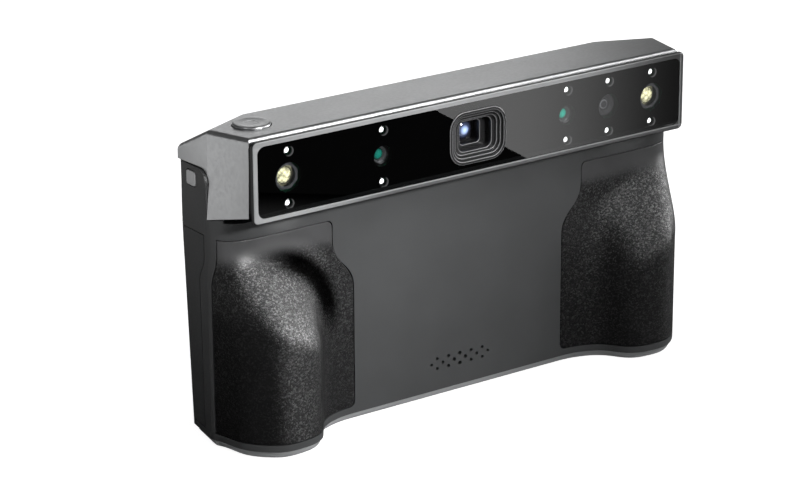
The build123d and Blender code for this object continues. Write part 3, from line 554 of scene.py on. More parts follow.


# The left pad's painted light in millimetres: painted shade in a hollow on an arc, a painted
# sheen on a band down the bulge, painted shade at the edge below and a painted highlight on the
# ridge above
HOLLOW_CENTRE, HOLLOW_RADIUS = (-76.0, 41.0), 22.0
HOLLOW_RISE, HOLLOW_FALL = (-7.0, -1.5), (1.5, 6.5)
HOLLOW_ACROSS, HOLLOW_UP, HOLLOW_SHADE_SHARE = (-84.0, -66.0), (27.0, 45.0), 0.97
SHEEN_BAND_RISE, SHEEN_BAND_FALL = (-84.0, -76.0), (-72.0, -62.5)
SHEEN_BAND_UP, SHEEN_BAND_GLOSS = (30.0, 50.0), (2.2, 0.55)
LOW_SHADE_ACROSS, LOW_SHADE_UP, LOW_SHADE_SHARE = (-86.0, -79.0), (42.0, 56.0), 0.6
RIDGE_RISE, RIDGE_FALL = (2.0, 5.0), (5.5, 10.0)
RIDGE_FROM, RIDGE_TO, RIDGE_UP = (-90.0, -82.0), (-60.0, -50.0), (52.0, 60.0)
RIDGE_SHEEN_GLOSS = 1.8


def grip_shade_and_sheen(made):
    """Painted shade for the left pad's recess over the fingers, and its gloss raised and lowered
    by place, which paints sheen and shade.
    """
    across, up = made.axis("X"), made.axis("Z")
    away = nearest(made, [(HOLLOW_CENTRE[0] * MM, HOLLOW_CENTRE[1] * MM)])
    arc = HOLLOW_RADIUS * MM
    # Painted shade in the recess over the fingers
    hollow_shade = made.times(
        made.rise(away, HOLLOW_RISE, origin=arc), made.fall(away, HOLLOW_FALL, origin=arc),
        made.rise(across, HOLLOW_ACROSS), made.rise(up, HOLLOW_UP))
    sheen_band = made.times(
        made.rise(across, SHEEN_BAND_RISE), made.fall(across, SHEEN_BAND_FALL),
        made.span(up, SHEEN_BAND_UP[0] * MM, SHEEN_BAND_UP[1] * MM, *SHEEN_BAND_GLOSS))
    dull_shade = made.times(made.fall(across, LOW_SHADE_ACROSS, LOW_SHADE_SHARE), made.fall(up, LOW_SHADE_UP))
    ridge_sheen = made.times(
        made.rise(away, RIDGE_RISE, origin=arc), made.fall(away, RIDGE_FALL, origin=arc),
        made.rise(across, RIDGE_FROM, RIDGE_SHEEN_GLOSS), made.fall(across, RIDGE_TO),
        made.rise(up, RIDGE_UP))
    # The gloss that paints sheen and shade: less at the shaded edge, more on the band and the
    # ridge
    sheen_and_shade = made.math("ADD", made.rest(dull_shade), sheen_band)
    return hollow_shade, made.math("ADD", sheen_and_shade, ridge_sheen)


# The smooth strip along the pads' top: its band in millimetres, its paleness and its gloss
STRIP_BAND, STRIP_TONE, STRIP_GLOSS = (61.0, 68.5), 7.0, 0.5
PEBBLE_GLOSS, GLINT_GLOSS, GLINT_POWER = 0.2, 0.9, 3.0
TONE_REACH = 10.0


def pebbled_rubber(name, colour, size, depth):
    """Rubber with small glinting pebbles, which fade out in a smooth strip along its top."""
    made = Finish(name, rough=0.4)
    fade = made.fall(made.axis("Z"), STRIP_BAND)
    grains = made.node("ShaderNodeTexVoronoi", Vector=made.place, Scale=1.0 / size)
    lot = made.node("ShaderNodeSeparateColor", Color=grains.outputs["Color"]).outputs["Red"]
    glint = made.math("POWER", lot, GLINT_POWER)
    cells = made.cells(1.0 / size, smoothness=0.3)
    grain = made.noise(scale=1.7 / size, detail=3.0, rough=0.6)
    # Painted shade darkens the colour and gloss in the left pad's recess; painted sheen and shade
    # raise and lower its gloss
    hollow_shade, sheen_and_shade = grip_shade_and_sheen(made)
    unshaded_part = made.rest(made.times(hollow_shade, HOLLOW_SHADE_SHARE))
    cloud = made.span(made.noise(scale=70.0, detail=3.0), 0.3, 0.7, 0.85, 1.15)
    tone = made.times(cloud, unshaded_part, made.span(fade, 0.0, 1.0, STRIP_TONE, 1.0))
    tone = made.math("DIVIDE", tone, TONE_REACH)
    made.feed(made.ramp(tone, (0.0, BLACK), (1.0, shade(colour, TONE_REACH))), "Base Color")
    made.feed(made.span(grain, 0.3, 0.7, 0.3, 0.46), "Roughness")
    bright = made.math("ADD", PEBBLE_GLOSS, made.times(glint, GLINT_GLOSS))
    plain = made.times(made.rest(fade), STRIP_GLOSS)
    gloss = made.math("ADD", plain, made.times(fade, bright))
    made.feed(made.times(gloss, sheen_and_shade, unshaded_part), "Specular IOR Level")
    pebble = made.math("SUBTRACT", made.times(grain, 0.9), cells)
    made.bump(made.times(pebble, fade), depth, strength=1.0)
    return made.material


def soft_rubber(name, colour):
    """Plain dark rubber."""
    made = Finish(name, rough=0.7)
    made.feed(made.clouded(colour, scale=300.0, spread=0.2), "Base Color")
    made.bump(made.noise(scale=2500.0), depth=0.03 * MM, strength=0.5)
    return made.material


# The painted highlight beside each small hole of the mask, a glowing grey crescent, in
# millimetres
CRESCENT_SHIFT, CRESCENT_HIGHLIGHT_GLOW = (0.35, -0.2), 0.16
CRESCENT_RISE, CRESCENT_FALL = (0.1, 0.25), (0.2, 0.4)


def dull_print(name, colour, holes, hole_radius):
    """A dead black print without any gloss, with a glowing grey crescent beside each small hole
    as a painted highlight.
    """
    made = Finish(name, rough=1.0)
    made.put("Specular IOR Level", 0.0)
    made.feed(made.clouded(colour, scale=200.0, spread=0.2, detail=2.0), "Base Color")
    aside, down = CRESCENT_SHIFT
    shifted = [(x + aside * MM, z + down * MM) for x, z in holes]
    inside = made.fall(nearest(made, shifted), CRESCENT_FALL, origin=hole_radius)
    outside = made.rise(nearest(made, holes), CRESCENT_RISE, origin=hole_radius)
    # The crescents glow: a painted highlight on the edge of each hole
    made.feed(made.times(inside, outside, CRESCENT_HIGHLIGHT_GLOW), "Emission Strength")
    made.put("Emission Color", (*WHITE, 1.0))
    return made.material


def lit_plastic(name, colour, glow):
    """Plastic with a faint painted glow, which stands in for its light behind the dark glass."""
    made = Finish(name, rough=0.4)
    made.lit(made.clouded(colour, scale=600.0, spread=0.15), glow)
    made.bump(made.noise(scale=3200.0), depth=0.02 * MM, strength=0.5)
    return made.material


def dark_glass(name, colour):
    """Polished tinted glass with a mirror coating, which lets the lamps' light through."""
    made = Finish(name, rough=0.01)
    made.put("Transmission Weight", 1.0)
    made.put("IOR", 2.0)
    tint = made.clouded(colour, scale=25.0, spread=0.05, detail=2.0, low=0.2, high=0.8)
    made.feed(tint, "Base Color")
    clear = made.node("ShaderNodeBsdfTransparent", Color=(*colour, 1.0)).outputs[0]
    shadow = made.node("ShaderNodeLightPath").outputs["Is Shadow Ray"]
    made.surface(mix_shaders(made.tree, shadow, made.shader.outputs[0], clear))
    return made.material


def black_gloss(name, colour):
    """A dark glass with nothing lit behind it."""
    made = Finish(name, rough=0.06)
    made.put("IOR", 1.5)
    made.put("Coat Weight", 0.5)
    tint = made.clouded(colour, scale=20.0, spread=0.1, detail=2.0, low=0.2, high=0.8)
    made.feed(tint, "Base Color")
    smears = made.noise(scale=120.0, detail=4.0)
    made.feed(made.span(smears, 0.3, 0.8, 0.04, 0.1), "Roughness")
    return made.material


def lamp(name, core, rim, glow, facets=0.0):
    """A lit dome: bright where it faces the window, dark round its rim."""
    made = Finish(name, rough=0.25)
    normal = made.node("ShaderNodeNewGeometry").outputs["Normal"]
    facing = made.node("ShaderNodeNormal", Normal=normal)
    facing.outputs["Normal"].default_value = (0.0, -1.0, 0.0)
    value = facing.outputs["Dot"]
    if facets:
        value = made.math("SUBTRACT", value, made.times(made.cells(scale=900.0), facets))
    made.lit(made.ramp(value, (0.5, rim), (0.88, core)), glow)
    return made.material


LENS_REACH = 3.0 * MM
TUBE_REACH = 3.2 * MM


def coated_lens(name, centre, rings, glow, reach=LENS_REACH):
    """A coated lens with glowing rings about its middle: its own tint, with painted glow and
    painted highlight rings for its lighting and reflections.
    """
    made = Finish(name, rough=0.08)
    away = made.node("ShaderNodeVectorMath", Vector=made.place)
    away.operation = "DISTANCE"
    away.inputs[1].default_value = centre
    made.lit(made.ramp(made.times(away.outputs["Value"], 1.0 / reach), *rings), glow)
    made.put("Coat Weight", 1.0)
    return made.material


def circuit(name, colour):
    """A circuit board: solder mask over a faint maze of tracks."""
    made = Finish(name, rough=0.4)
    tracks = made.node(
        "ShaderNodeTexBrick", Vector=made.place, Scale=160.0, Mortar_Size=0.03,
        Color1=(*shade(colour, 0.8), 1.0), Color2=(*shade(colour, 1.2), 1.0),
        Mortar=(*shade(colour, 1.7), 1.0))
    made.feed(tracks.outputs["Color"], "Base Color")
    made.bump(made.noise(scale=900.0, detail=3.0), depth=0.03 * MM, strength=0.4)
    return made.material


# The grips' form in millimetres, from the same values as the solids

HALF_WIDTH = 94.0
TOP = 108.0
PANEL = -11.15
BACK = 14.15
FRONT = -21.25
GRIP_WIDTH = 50.4
GRIP_RISE = 14.6
SHOULDER_DROP = 34.5
SHOULDER_RUN = 28.0
SHOULDER_LAG = 22.0
SIDE_DRAW = 2.6
SIDE_DRAW_DROP = 36.0
SIDE_SHARE = -0.66
GRIP_SHARES = (
    (0.016, -0.45, -0.44), (0.063, -0.21, 0.21), (0.186, -0.02, 0.77), (0.286, 0.006, 0.97),
    (0.415, 0.009, 1.0), (0.515, 0.009, 0.94), (0.590, 0.008, 0.79), (0.697, 0.006, 0.32),
    (0.820, 0.002, 0.09),
)
PAD_TOP = 72.3
PAD_BOTTOM = 5.4
PAD_CORNER = 2.2
# The S-bends of a pad's inner and side edge: places above and below, and the bend's heights
INNER_BEND = (HALF_WIDTH - 42.2, HALF_WIDTH - 50.4, TOP - 43.0, TOP - 60.0)
SIDE_BEND = (FRONT + 15.4, FRONT + 17.4, TOP - 42.0, TOP - 52.0)
SIDE_ZONE = 8.0
# The pad's mesh: points across and up, how far its rows crowd at the ends, and its edge
PAD_ACROSS, PAD_UP, PAD_CROWDING = 110, 132, 0.25
PAD_EDGE, PAD_EDGE_STEPS, PAD_EDGE_ANGLE = 0.35 * MM, 3, math.radians(50)
PAD_SMOOTH = math.radians(60)
CURVE_POINTS = 360
BEND_POINTS = 200


def share_of(part, whole):
    """A part of a whole, kept between nothing and all."""
    return min(max(part / whole, 0), 1)


def grip_line(level):
    """The right grip's outline at a height, as close points from the side to the panel."""
    points = [(HALF_WIDTH, PANEL - SIDE_SHARE * GRIP_RISE)]
    for across, neck, hand in GRIP_SHARES:
        share = share_of(TOP - SHOULDER_DROP - across * SHOULDER_LAG - level, SHOULDER_RUN)
        swell = share * share * (3 - 2 * share)
        rise = (neck + swell * (hand - neck)) * GRIP_RISE
        points.append((HALF_WIDTH - across * GRIP_WIDTH, PANEL - rise))
    points.append((HALF_WIDTH - GRIP_WIDTH, PANEL))
    points = np.array(points)
    draw = SIDE_DRAW * share_of(TOP - level - SIDE_DRAW_DROP, TOP - SIDE_DRAW_DROP)
    corner = np.array((HALF_WIDTH - draw, BACK))
    first = (points[0] - corner) / np.linalg.norm(points[0] - corner)
    return smooth_line(points, first, np.array((-1.0, 0.0)))


def smooth_line(points, first, last):
    """Close points on the smooth curve through some points, with its end directions given."""
    gaps = np.diff(points, axis=0)
    steps = np.linalg.norm(gaps, axis=1)
    knots = np.concatenate(([0.0], np.cumsum(steps)))
    size = len(points)
    rows = np.zeros((size, size))
    sides = np.zeros((size, 2))
    rows[0, 0] = rows[-1, -1] = 1.0
    sides[0], sides[-1] = first, last
    for k in range(1, size - 1):
        before, after = steps[k - 1], steps[k]
        rows[k, k - 1 : k + 2] = (after, 2 * (before + after), before)
        sides[k] = 3 * (after * gaps[k - 1] / before + before * gaps[k] / after)
    slopes = np.linalg.solve(rows, sides)
    at = np.linspace(0, knots[-1], CURVE_POINTS)
    k = np.clip(np.searchsorted(knots, at, side="right") - 1, 0, size - 2)
    run = steps[k][:, None]
    t = (at - knots[k])[:, None] / run
    start = (2 * t**3 - 3 * t**2 + 1) * points[k] + (t**3 - 2 * t**2 + t) * run * slopes[k]
    return start + (3 * t**2 - 2 * t**3) * points[k + 1] + (t**3 - t**2) * run * slopes[k + 1]


def s_bend(level, top_place, low_place, start, end):
    """Where a pad's S-shaped edge stands at a height."""
    t = np.linspace(0, 1, BEND_POINTS)
    length = math.hypot(top_place - low_place, start - end)
    ease = 3 * t**2 - 2 * t**3
    height = start + (end - start) * ease - length * (2 * t**3 - 3 * t**2 + t)
    place = top_place + (low_place - top_place) * ease
    return float(np.interp(-level, -height, place))


def pad_ends(level):
    """Where the right pad begins on the panel and ends on the side, at a height."""
    inner = s_bend(level, *INNER_BEND)
    side = s_bend(level, *SIDE_BEND)
    near_edge = min(PAD_TOP - level, level - PAD_BOTTOM)
    if near_edge < PAD_CORNER:
        inner += PAD_CORNER - math.sqrt(max(PAD_CORNER**2 - (PAD_CORNER - near_edge) ** 2, 0))
    return inner, side


def pad_row(level):
    """One row of the pad's points, from the panel to the side."""
    inner, side = pad_ends(level)
    kept = np.array([
        (x, y) for x, y in grip_line(level)[::-1]
        if x >= inner and not (x > HALF_WIDTH - SIDE_ZONE and y > side)])
    steps = np.linalg.norm(np.diff(kept, axis=0), axis=1)
    lengths = np.concatenate(([0.0], np.cumsum(steps)))
    at = np.linspace(0, lengths[-1], PAD_ACROSS)
    row = np.stack([np.interp(at, lengths, kept[:, axis]) for axis in (0, 1)], axis=1)
    row[0] = (inner, row[0][1])
    return row


def pad_level(number):
    """The height of one of the pad's rows, which crowd towards its top and bottom."""
    last = PAD_UP - 1
    eased = 0.5 - 0.5 * math.cos(math.pi * number / last)
    share = (1.0 - PAD_CROWDING) * number / last + PAD_CROWDING * eased
    return PAD_BOTTOM + (PAD_TOP - PAD_BOTTOM) * share


class SCANNER_OT_grips(bpy.types.Operator):
    """Shape both grip pads on the body and give them pebbled rubber"""

    bl_idname = "scanner.grips"
    bl_label = "Grip pads"

    def execute(self, context):
        finish = context.scene.scanner_finish
        detail = context.scene.scanner_detail
        rubber = pebbled_rubber(
            "pebbled_rubber", finish.rubber, detail.pebble, detail.pebble_depth)
        clear_selection()
        bpy.ops.mesh.primitive_grid_add(
            x_subdivisions=PAD_ACROSS - 1, y_subdivisions=PAD_UP - 1, size=2.0)
        pad = added("grip_pad_moulding_right")
        order = sorted(pad.data.vertices, key=lambda v: (round(v.co.y, 5), round(v.co.x, 5)))
        if len(order) != PAD_ACROSS * PAD_UP:
            raise RuntimeError("the pad's grid has another number of points than planned")
        for number in range(PAD_UP):
            level = pad_level(number)
            for place, (x, y) in enumerate(pad_row(level)):
                order[number * PAD_ACROSS + place].co = Vector((x, y, level)) * MM
        pad.data.update()
        edit_all(pad)
        bpy.ops.mesh.normals_make_consistent(inside=False)
        end_edit()
        middle = pad.data.polygons[len(pad.data.polygons) // 2]
        if middle.normal.y > 0:
            edit_all(pad)
            bpy.ops.mesh.flip_normals()
            end_edit()
        wall = pad.modifiers.new("wall", "SOLIDIFY")
        wall.thickness = detail.pad_wall
        wall.offset = -1.0
        apply_all(pad)
        break_edges(pad, PAD_EDGE, PAD_EDGE_STEPS, PAD_EDGE_ANGLE)
        smooth(pad, PAD_SMOOTH)
        left = linked("grip_pad_moulding_left", pad.data.copy())
        edit_all(left)
        bpy.ops.transform.resize(value=(-1, 1, 1), center_override=(0, 0, 0))
        bpy.ops.mesh.flip_normals()
        end_edit()
        finish_piece(pad, "scanner", rubber, "pad_rubber", "grip_pad_right")
        finish_piece(left, "scanner", rubber, "pad_rubber", "grip_pad_left")
        return {"FINISHED"}


class SCANNER_OT_shell(bpy.types.Operator):
    """Dress the body's shell, rear cover and base"""

    bl_idname = "scanner.shell"
    bl_label = "Shell and base"

    def execute(self, context):
        finish = context.scene.scanner_finish
        paint(satin_paint("graphite_paint", finish.shell), "main_shell")
        paint(satin_paint("cover_paint", finish.cover, rough=0.4), "rear_cover")
        paint(blasted_metal("base_metal", finish.base, rough=0.34, metal=0.4), "base_plate")
        return {"FINISHED"}


class SCANNER_OT_head(bpy.types.Operator):
    """Dress the head housing and the window's frame"""

    bl_idname = "scanner.head"
    bl_label = "Head and bezel"

    def execute(self, context):
        finish = context.scene.scanner_finish
        paint(blasted_metal("head_metal", finish.head), "head_housing")
        frame_metal = framed_metal("bezel_metal", finish.bezel, *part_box("window_bezel"))
        paint(frame_metal, "window_bezel")
        return {"FINISHED"}


# Colours behind the window: rings from the middle outwards, by their share of the reach. They
# glow: over the parts' own tints, the pale rings and bright middles are painted highlights and
# reflections
GLASS_TINT = (0.4, 0.41, 0.42)
MASK_BLACK = (0.002, 0.002, 0.0022)
# The hood's pale rim colour is a painted highlight on its steps' edges
HOOD_BLACK, HOOD_RIM_HIGHLIGHT = (0.008, 0.008, 0.0085), (0.16, 0.16, 0.165)
HOOD_RIM_WIDTH = 0.2 * MM
FLASH_RINGS = (
    (0.5, grey(0.02)), (0.6, grey(0.07)), (0.66, grey(0.01)), (0.8, grey(0.01)),
    (0.88, (0.09, 0.09, 0.095)))
TUBE_RINGS = (0.8, (0.14, 0.14, 0.143)), (0.95, grey(0.01))
DEPTH_RINGS = (0.0, 3.5), (0.1, 1.2), (0.3, 1.0), (0.48, 0.6), (0.6, 0.08)
# The left depth lens takes a darker copy of the same coating: painted shade
DEPTH_SHADE_SHARES = {"left": 0.55, "right": 1.0}
COLOUR_RINGS = (
    (0.0, (0.01, 0.01, 0.012)), (0.16, (0.06, 0.06, 0.065)), (0.36, (0.05, 0.05, 0.055)),
    (0.48, (0.3, 0.3, 0.31)), (0.6, (0.02, 0.02, 0.022)))
PROJECTOR_GLINT_RINGS = (
    (0.0, (0.75, 0.85, 1.0)), (0.3, (0.3, 0.4, 0.65)), (0.6, (0.03, 0.04, 0.08)),
    (1.0, (0.005, 0.005, 0.008)))


class SCANNER_OT_window(bpy.types.Operator):
    """Dress the glass, the mask and what shines behind it"""

    bl_idname = "scanner.window"
    bl_label = "Window and sensors"

    def execute(self, context):
        finish = context.scene.scanner_finish
        paint(dark_glass("window_tint", GLASS_TINT), "window_glass")
        spots = [f"spot_led_{row}_{k}" for k in range(1, 6) for row in ("upper", "lower")]
        holes = [(middle[0], middle[2]) for middle in map(middle_of, spots)]
        paint(dull_print("mask_print", MASK_BLACK, holes, half_width(spots[-1])), "window_mask")
        paint(soft_rubber("gasket_rubber", grey(0.006)), "window_gasket")
        paint(lamp("lamp_white", (1.0, 1.0, 0.98), grey(0.03), glow=8.0), *spots)
        dim = shade(finish.flash, 0.12)
        yellow = lamp("lamp_phosphor", finish.flash, dim, glow=4.2, facets=0.45)
        paint(yellow, "flash_lens_left", "flash_lens_right")
        # The colour camera's barrel has a painted glow
        paint(lit_plastic("colour_barrel", (0.1, 0.1, 0.103), glow=0.5), "colour_camera")
        for side, share in DEPTH_SHADE_SHARES.items():
            self.paint_flash_ring(side)
            self.paint_depth_camera(side, shade(finish.coating, share))
        # The lenses glow with painted highlights and reflections
        grey_lens = coated_lens("lens_grey", middle_of("colour_lens"), COLOUR_RINGS, glow=1.2)
        paint(grey_lens, "colour_lens")
        blue = coated_lens("lens_blue", middle_of("projector_lens"), PROJECTOR_GLINT_RINGS, glow=0.9)
        paint(blue, "projector_lens")
        paint(satin_paint("engine_black", (0.008, 0.008, 0.009), rough=0.3), "projector_engine")
        self.add_hood()
        return {"FINISHED"}

    def paint_flash_ring(self, side):
        """Ringed plastic round a flash lamp, whose glowing rings are painted highlights."""
        node = "flash_ring_" + side
        reach = half_width(node)
        name = "ring_plastic_" + side
        paint(coated_lens(name, middle_of(node), FLASH_RINGS, glow=1.4, reach=reach), node)

    def paint_depth_camera(self, side, tint):
        """A tinted lens and the ringed tube behind it, both glowing with painted highlights."""
        middle = middle_of("depth_lens_" + side)
        rings = [(place, shade(tint, factor)) for place, factor in DEPTH_RINGS]
        paint(coated_lens("lens_green_" + side, middle, rings, glow=2.0), "depth_lens_" + side)
        tube = coated_lens("camera_tube_" + side, middle, TUBE_RINGS, glow=0.5, reach=TUBE_REACH)
        paint(tube, "depth_camera_" + side)

    def add_hood(self):
        """The projector's stepped hood, with a pale rim on each step as a painted highlight."""
        hood = copy_of("projector_hood", "hood_moulding")
        flatten_faces(hood)
        hood.data.materials.clear()
        hood.data.materials.append(satin_paint("hood_paint", HOOD_BLACK, rough=0.32))
        hood.data.materials.append(satin_paint("hood_rim", HOOD_RIM_HIGHLIGHT, rough=0.3))
        rim_edges(hood, HOOD_RIM_WIDTH)
        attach(hood, "scanner")
        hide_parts("projector_hood")


# The scan button in millimetres: each step of its dish has an inset and a drop
CAP_RADIUS = 6.2
CAP_EDGE_STEPS = 5
COLLAR_HEIGHT = 1.0
DISH_STEPS = (1.0, 0.0), (0.4, 0.03), (0.6, 0.04), (1.2, 0.03)
MARK_LENGTH, MARK_WIDTH, MARK_HEIGHT = 4.2, 0.3, 0.1


def pick_top(piece):
    """Only the highest flat face is selected, in edit mode."""
    bpy.ops.mesh.select_mode(type="FACE")
    bpy.ops.mesh.select_all(action="DESELECT")
    form = bmesh.from_edit_mesh(piece.data)
    top = max(form.faces, key=lambda f: (round(f.calc_center_median().z, 6), f.calc_area()))
    top.select = True
    bmesh.update_edit_mesh(piece.data)


def round_bar(name, middle, radius, low, high):
    """An upright cylinder between two heights."""
    clear_selection()
    bpy.ops.mesh.primitive_cylinder_add(
        vertices=ROUND_SIDES, radius=radius, depth=high - low,
        location=(middle[0], middle[1], (low + high) / 2))
    bar = added(name)
    settle(bar)
    return bar


def dished_disc(name, middle, low, high, edge):
    """A round cap with a rounded edge and a shallow dish in its top."""
    disc = round_bar(name, middle, CAP_RADIUS * MM, low, high)
    bpy.ops.object.mode_set(mode="EDIT")
    pick_top(disc)
    bpy.ops.mesh.bevel(offset=edge, segments=CAP_EDGE_STEPS, affect="EDGES")
    pick_top(disc)
    for inset, drop in DISH_STEPS:
        bpy.ops.mesh.inset(thickness=inset * MM, depth=0.0)
        bpy.ops.transform.translate(value=(0, 0, -drop * MM))
    end_edit()
    return disc


def corner_mark(name, middle, top):
    """Two thin raised lines that meet in a corner."""
    length, width, height = MARK_LENGTH * MM, MARK_WIDTH * MM, MARK_HEIGHT * MM
    shift = (length - width) / 2
    bars = []
    for along in (0, 1):
        clear_selection()
        bpy.ops.mesh.primitive_cube_add(size=1.0)
        bar = added(name)
        size = [width, width, height]
        size[along] = length
        bar.scale = size
        place = [middle[0], middle[1], top - height]
        place[1 - along] += shift
        bar.location = place
        settle(bar)
        bars.append(bar)
    join(*bars)
    return bars[0]


class SCANNER_OT_buttons(bpy.types.Operator):
    """Dress the scan button and the power button"""

    bl_idname = "scanner.buttons"
    bl_label = "Buttons"

    def execute(self, context):
        finish = context.scene.scanner_finish
        detail = context.scene.scanner_detail
        metal = blasted_metal("button_metal", finish.head, rough=0.34)
        low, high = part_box("scan_button")
        middle = middle_of("scan_button")
        cap = dished_disc("scan_cap", middle, low[2], high[2], detail.edge)
        flange = low[2] + COLLAR_HEIGHT * MM
        join(cap, round_bar("scan_collar", middle, half_width("scan_button"), low[2], flange))
        smooth(cap, detail.smooth_angle)
        finish_piece(cap, "scan_button", metal, "button_silver", "scan_button")
        pale = blasted_metal("mark_metal", shade(finish.head, 1.6), rough=0.4)
        mark = corner_mark("scan_mark", middle, high[2])
        finish_piece(mark, "scan_button", pale, "button_silver")
        power = blasted_metal("power_metal", shade(finish.head, 1.25), metal=0.5)
        paint(power, "power_button")
        return {"FINISHED"}


SCREEN_EDGE = 0.3 * MM
HINGE_EDGE = 0.2 * MM


class SCANNER_OT_screen(bpy.types.Operator):
    """Dress the flip-up screen and its hinge"""

    bl_idname = "scanner.screen"
    bl_label = "Screen and hinge"

    def execute(self, context):
        case = refined("screen_case", "screen_tray", SCREEN_EDGE)
        plastic = matt_plastic("screen_plastic", (0.03, 0.03, 0.032), rough=0.45)
        finish_piece(case, "screen", plastic, "screen_plastic", "screen_case")
        glass = refined("screen_glass", "touch_glass", SCREEN_EDGE, segments=3)
        gloss = black_gloss("touch_glass", (0.006, 0.006, 0.007))
        finish_piece(glass, "screen", gloss, "screen_glass", "screen_glass")
        paint(black_gloss("display_black", (0.01, 0.01, 0.012)), "display_panel")
        hinge = satin_paint("hinge_paint", (0.05, 0.05, 0.052), rough=0.35)
        for side in ("left", "right"):
            bracket = refined("hinge_bracket_" + side, "hinge_ear_" + side, HINGE_EDGE)
            finish_piece(bracket, "scanner", hinge, "hinge_metal", "hinge_bracket_" + side)
        return {"FINISHED"}


class SCANNER_OT_inside(bpy.types.Operator):
    """Dress the boards, switches, battery and fasteners"""

    bl_idname = "scanner.inside"
    bl_label = "Inner pieces and fasteners"

    def execute(self, context):
        board = circuit("board_mask", (0.02, 0.12, 0.06))
        paint(board, "led_board", "main_board", "screen_board")
        paint(board, "scan_switch_board", "power_switch_board")
        paint(matt_plastic("switch_plastic", grey(0.02)), "scan_switch", "power_switch")
        paint(matt_plastic("battery_wrap", (0.03, 0.04, 0.07), rough=0.35), "battery_pack")
        paint(matt_plastic("speaker_plastic", grey(0.02)), "speaker")
        paint(blasted_metal("bench_metal", (0.4, 0.4, 0.41)), "optical_bench")
        paint(brushed_metal("sink_metal", grey(0.5)), "heat_sink")
        paint(brushed_metal("socket_steel", grey(0.5)), "usb_socket")
        paint(brushed_metal("bush_steel", grey(0.5)), "tripod_bush")
        steel = brushed_metal("screw_steel", (0.32, 0.32, 0.33))
        paint(steel, "case_screws", "base_screws", "hinge_screws")
        paint(steel, "hinge_pin_left", "hinge_pin_right")
        return {"FINISHED"}


# Stage, in metres

FLOOR_SIZE, FLOOR_DROP = 30.0, 0.0002
# The floor's white to the camera, and its share in what the camera sees
FLOOR_WHITE, FLOOR_SHARE = 1.7, 0.55
# Where the floor is bright to mirrors: at the left along X, and behind along Y and X
GLOW_LEFT, GLOW_LEAST = (-0.5, -0.12), 0.01
GLOW_BEHIND, GLOW_BESIDE = (0.12, 0.35), (-0.15, 0.1)
# Cards that only mirrors see: name, corners, the glow's axes, direction, span and ends
CARDS = (
    ("window_card",
     ((0.1064, -0.12, 0.036), (0.185, -0.12, 0.036), (0.185, -0.12, 0.073),
      (0.0472, -0.12, 0.073)),
     "XZ", (1.0, 0.0), (0.085, 0.175), (0.92, 0.07)),
    ("wedge_card",
     ((0.056, -0.25, 0.001), (0.103, -0.21, 0.001), (0.1, -0.195, 0.001),
      (0.02, -0.195, 0.001)),
     "XY", (-0.648, 0.762), (-0.227, -0.18), (0.0, 0.13)),
)
# Soft boxes: name, place, width, height and the setting of their power
BOX_AIM = (0.0, 0.0, 0.06)
BOXES = (
    ("key_strip", (0.3, -0.6, 0.85), 1.0, 0.2, "key_power"),
    ("right_box", (1.0, -0.2, 0.3), 0.55, 0.55, "right_power"),
    ("front_box", (-0.2, -1.05, 0.33), 0.6, 0.3, "front_power"),
    ("left_box", (-0.65, -0.15, 0.8), 0.3, 0.3, "left_power"),
    ("back_box", (0.58, 1.05, 0.38), 0.5, 0.35, "back_power"),
)
PANEL_LAMP_PLACE, PANEL_LAMP_AIM = (0.2, -1.0, 0.55), (-0.045, -0.011, 0.075)
PANEL_LAMP_ANGLE, PANEL_LAMP_RADIUS = math.radians(9.5), 0.08
CAMERA_PLACE = (-0.56978, -0.78257, 0.39462)
CAMERA_RIGHT = (0.8157, -0.5784, -0.0047)
CAMERA_AHEAD = (0.5436, 0.7694, -0.3353)
SENSOR_WIDTH = 36.0


def ray_mix(tree, plain, seen, mirrored):
    """One shader for the light itself, one for what the camera sees and one for mirrors."""
    path = tree.nodes.new("ShaderNodeLightPath")
    mirror = tree.nodes.new("ShaderNodeMath")
    mirror.operation = "MAXIMUM"
    tree.links.new(path.outputs["Is Glossy Ray"], mirror.inputs[0])
    tree.links.new(path.outputs["Is Transmission Ray"], mirror.inputs[1])
    shader = mix_shaders(tree, path.outputs["Is Camera Ray"], plain, seen)
    return mix_shaders(tree, mirror.outputs[0], shader, mirrored)


def hang_lamp(data, place, aim, power):
    """A lamp at a place, which looks at a point."""
    data.energy = power
    hung = linked(data.name, data)
    hung.location = place
    hung.rotation_euler = (Vector(aim) - Vector(place)).to_track_quat("-Z", "Y").to_euler()


def set_lamps(settings):
    """The soft boxes, and a narrow lamp with a soft edge for the front panel."""
    for name, place, width, height, power in BOXES:
        box = bpy.data.lights.new(name, "AREA")
        box.shape = "RECTANGLE"
        box.size = width
        box.size_y = height
        hang_lamp(box, place, BOX_AIM, getattr(settings, power))
    spot = bpy.data.lights.new("panel_spot", "SPOT")
    spot.spot_size = PANEL_LAMP_ANGLE
    spot.spot_blend = 1.0
    spot.shadow_soft_size = PANEL_LAMP_RADIUS
    hang_lamp(spot, PANEL_LAMP_PLACE, PANEL_LAMP_AIM, settings.panel_power)


def reflection_card(name, corners, axes, direction, span, glow):
    """A lit card that only mirrors see, with its glow changing along a direction."""
    clear_selection()
    bpy.ops.mesh.primitive_plane_add(size=2.0, location=(0, 0, 0))
    card = added(name)
    order = sorted(card.data.vertices, key=lambda v: math.atan2(v.co.y, v.co.x))
    for vertex, corner in zip(order, corners):
        vertex.co = corner
    made = Finish(name, rough=1.0)
    made.put("Base Color", (*BLACK, 1.0))
    made.put("Specular IOR Level", 0.0)
    made.put("Emission Color", (*WHITE, 1.0))
    across, along = (
        made.times(made.axis(axis), share) for axis, share in zip(axes, direction))
    made.feed(made.span(made.math("ADD", across, along), *span, *glow), "Emission Strength")
    card.data.materials.append(made.material)
    card.visible_camera = False
    card.visible_diffuse = False
    card.visible_shadow = False
    card.visible_transmission = False


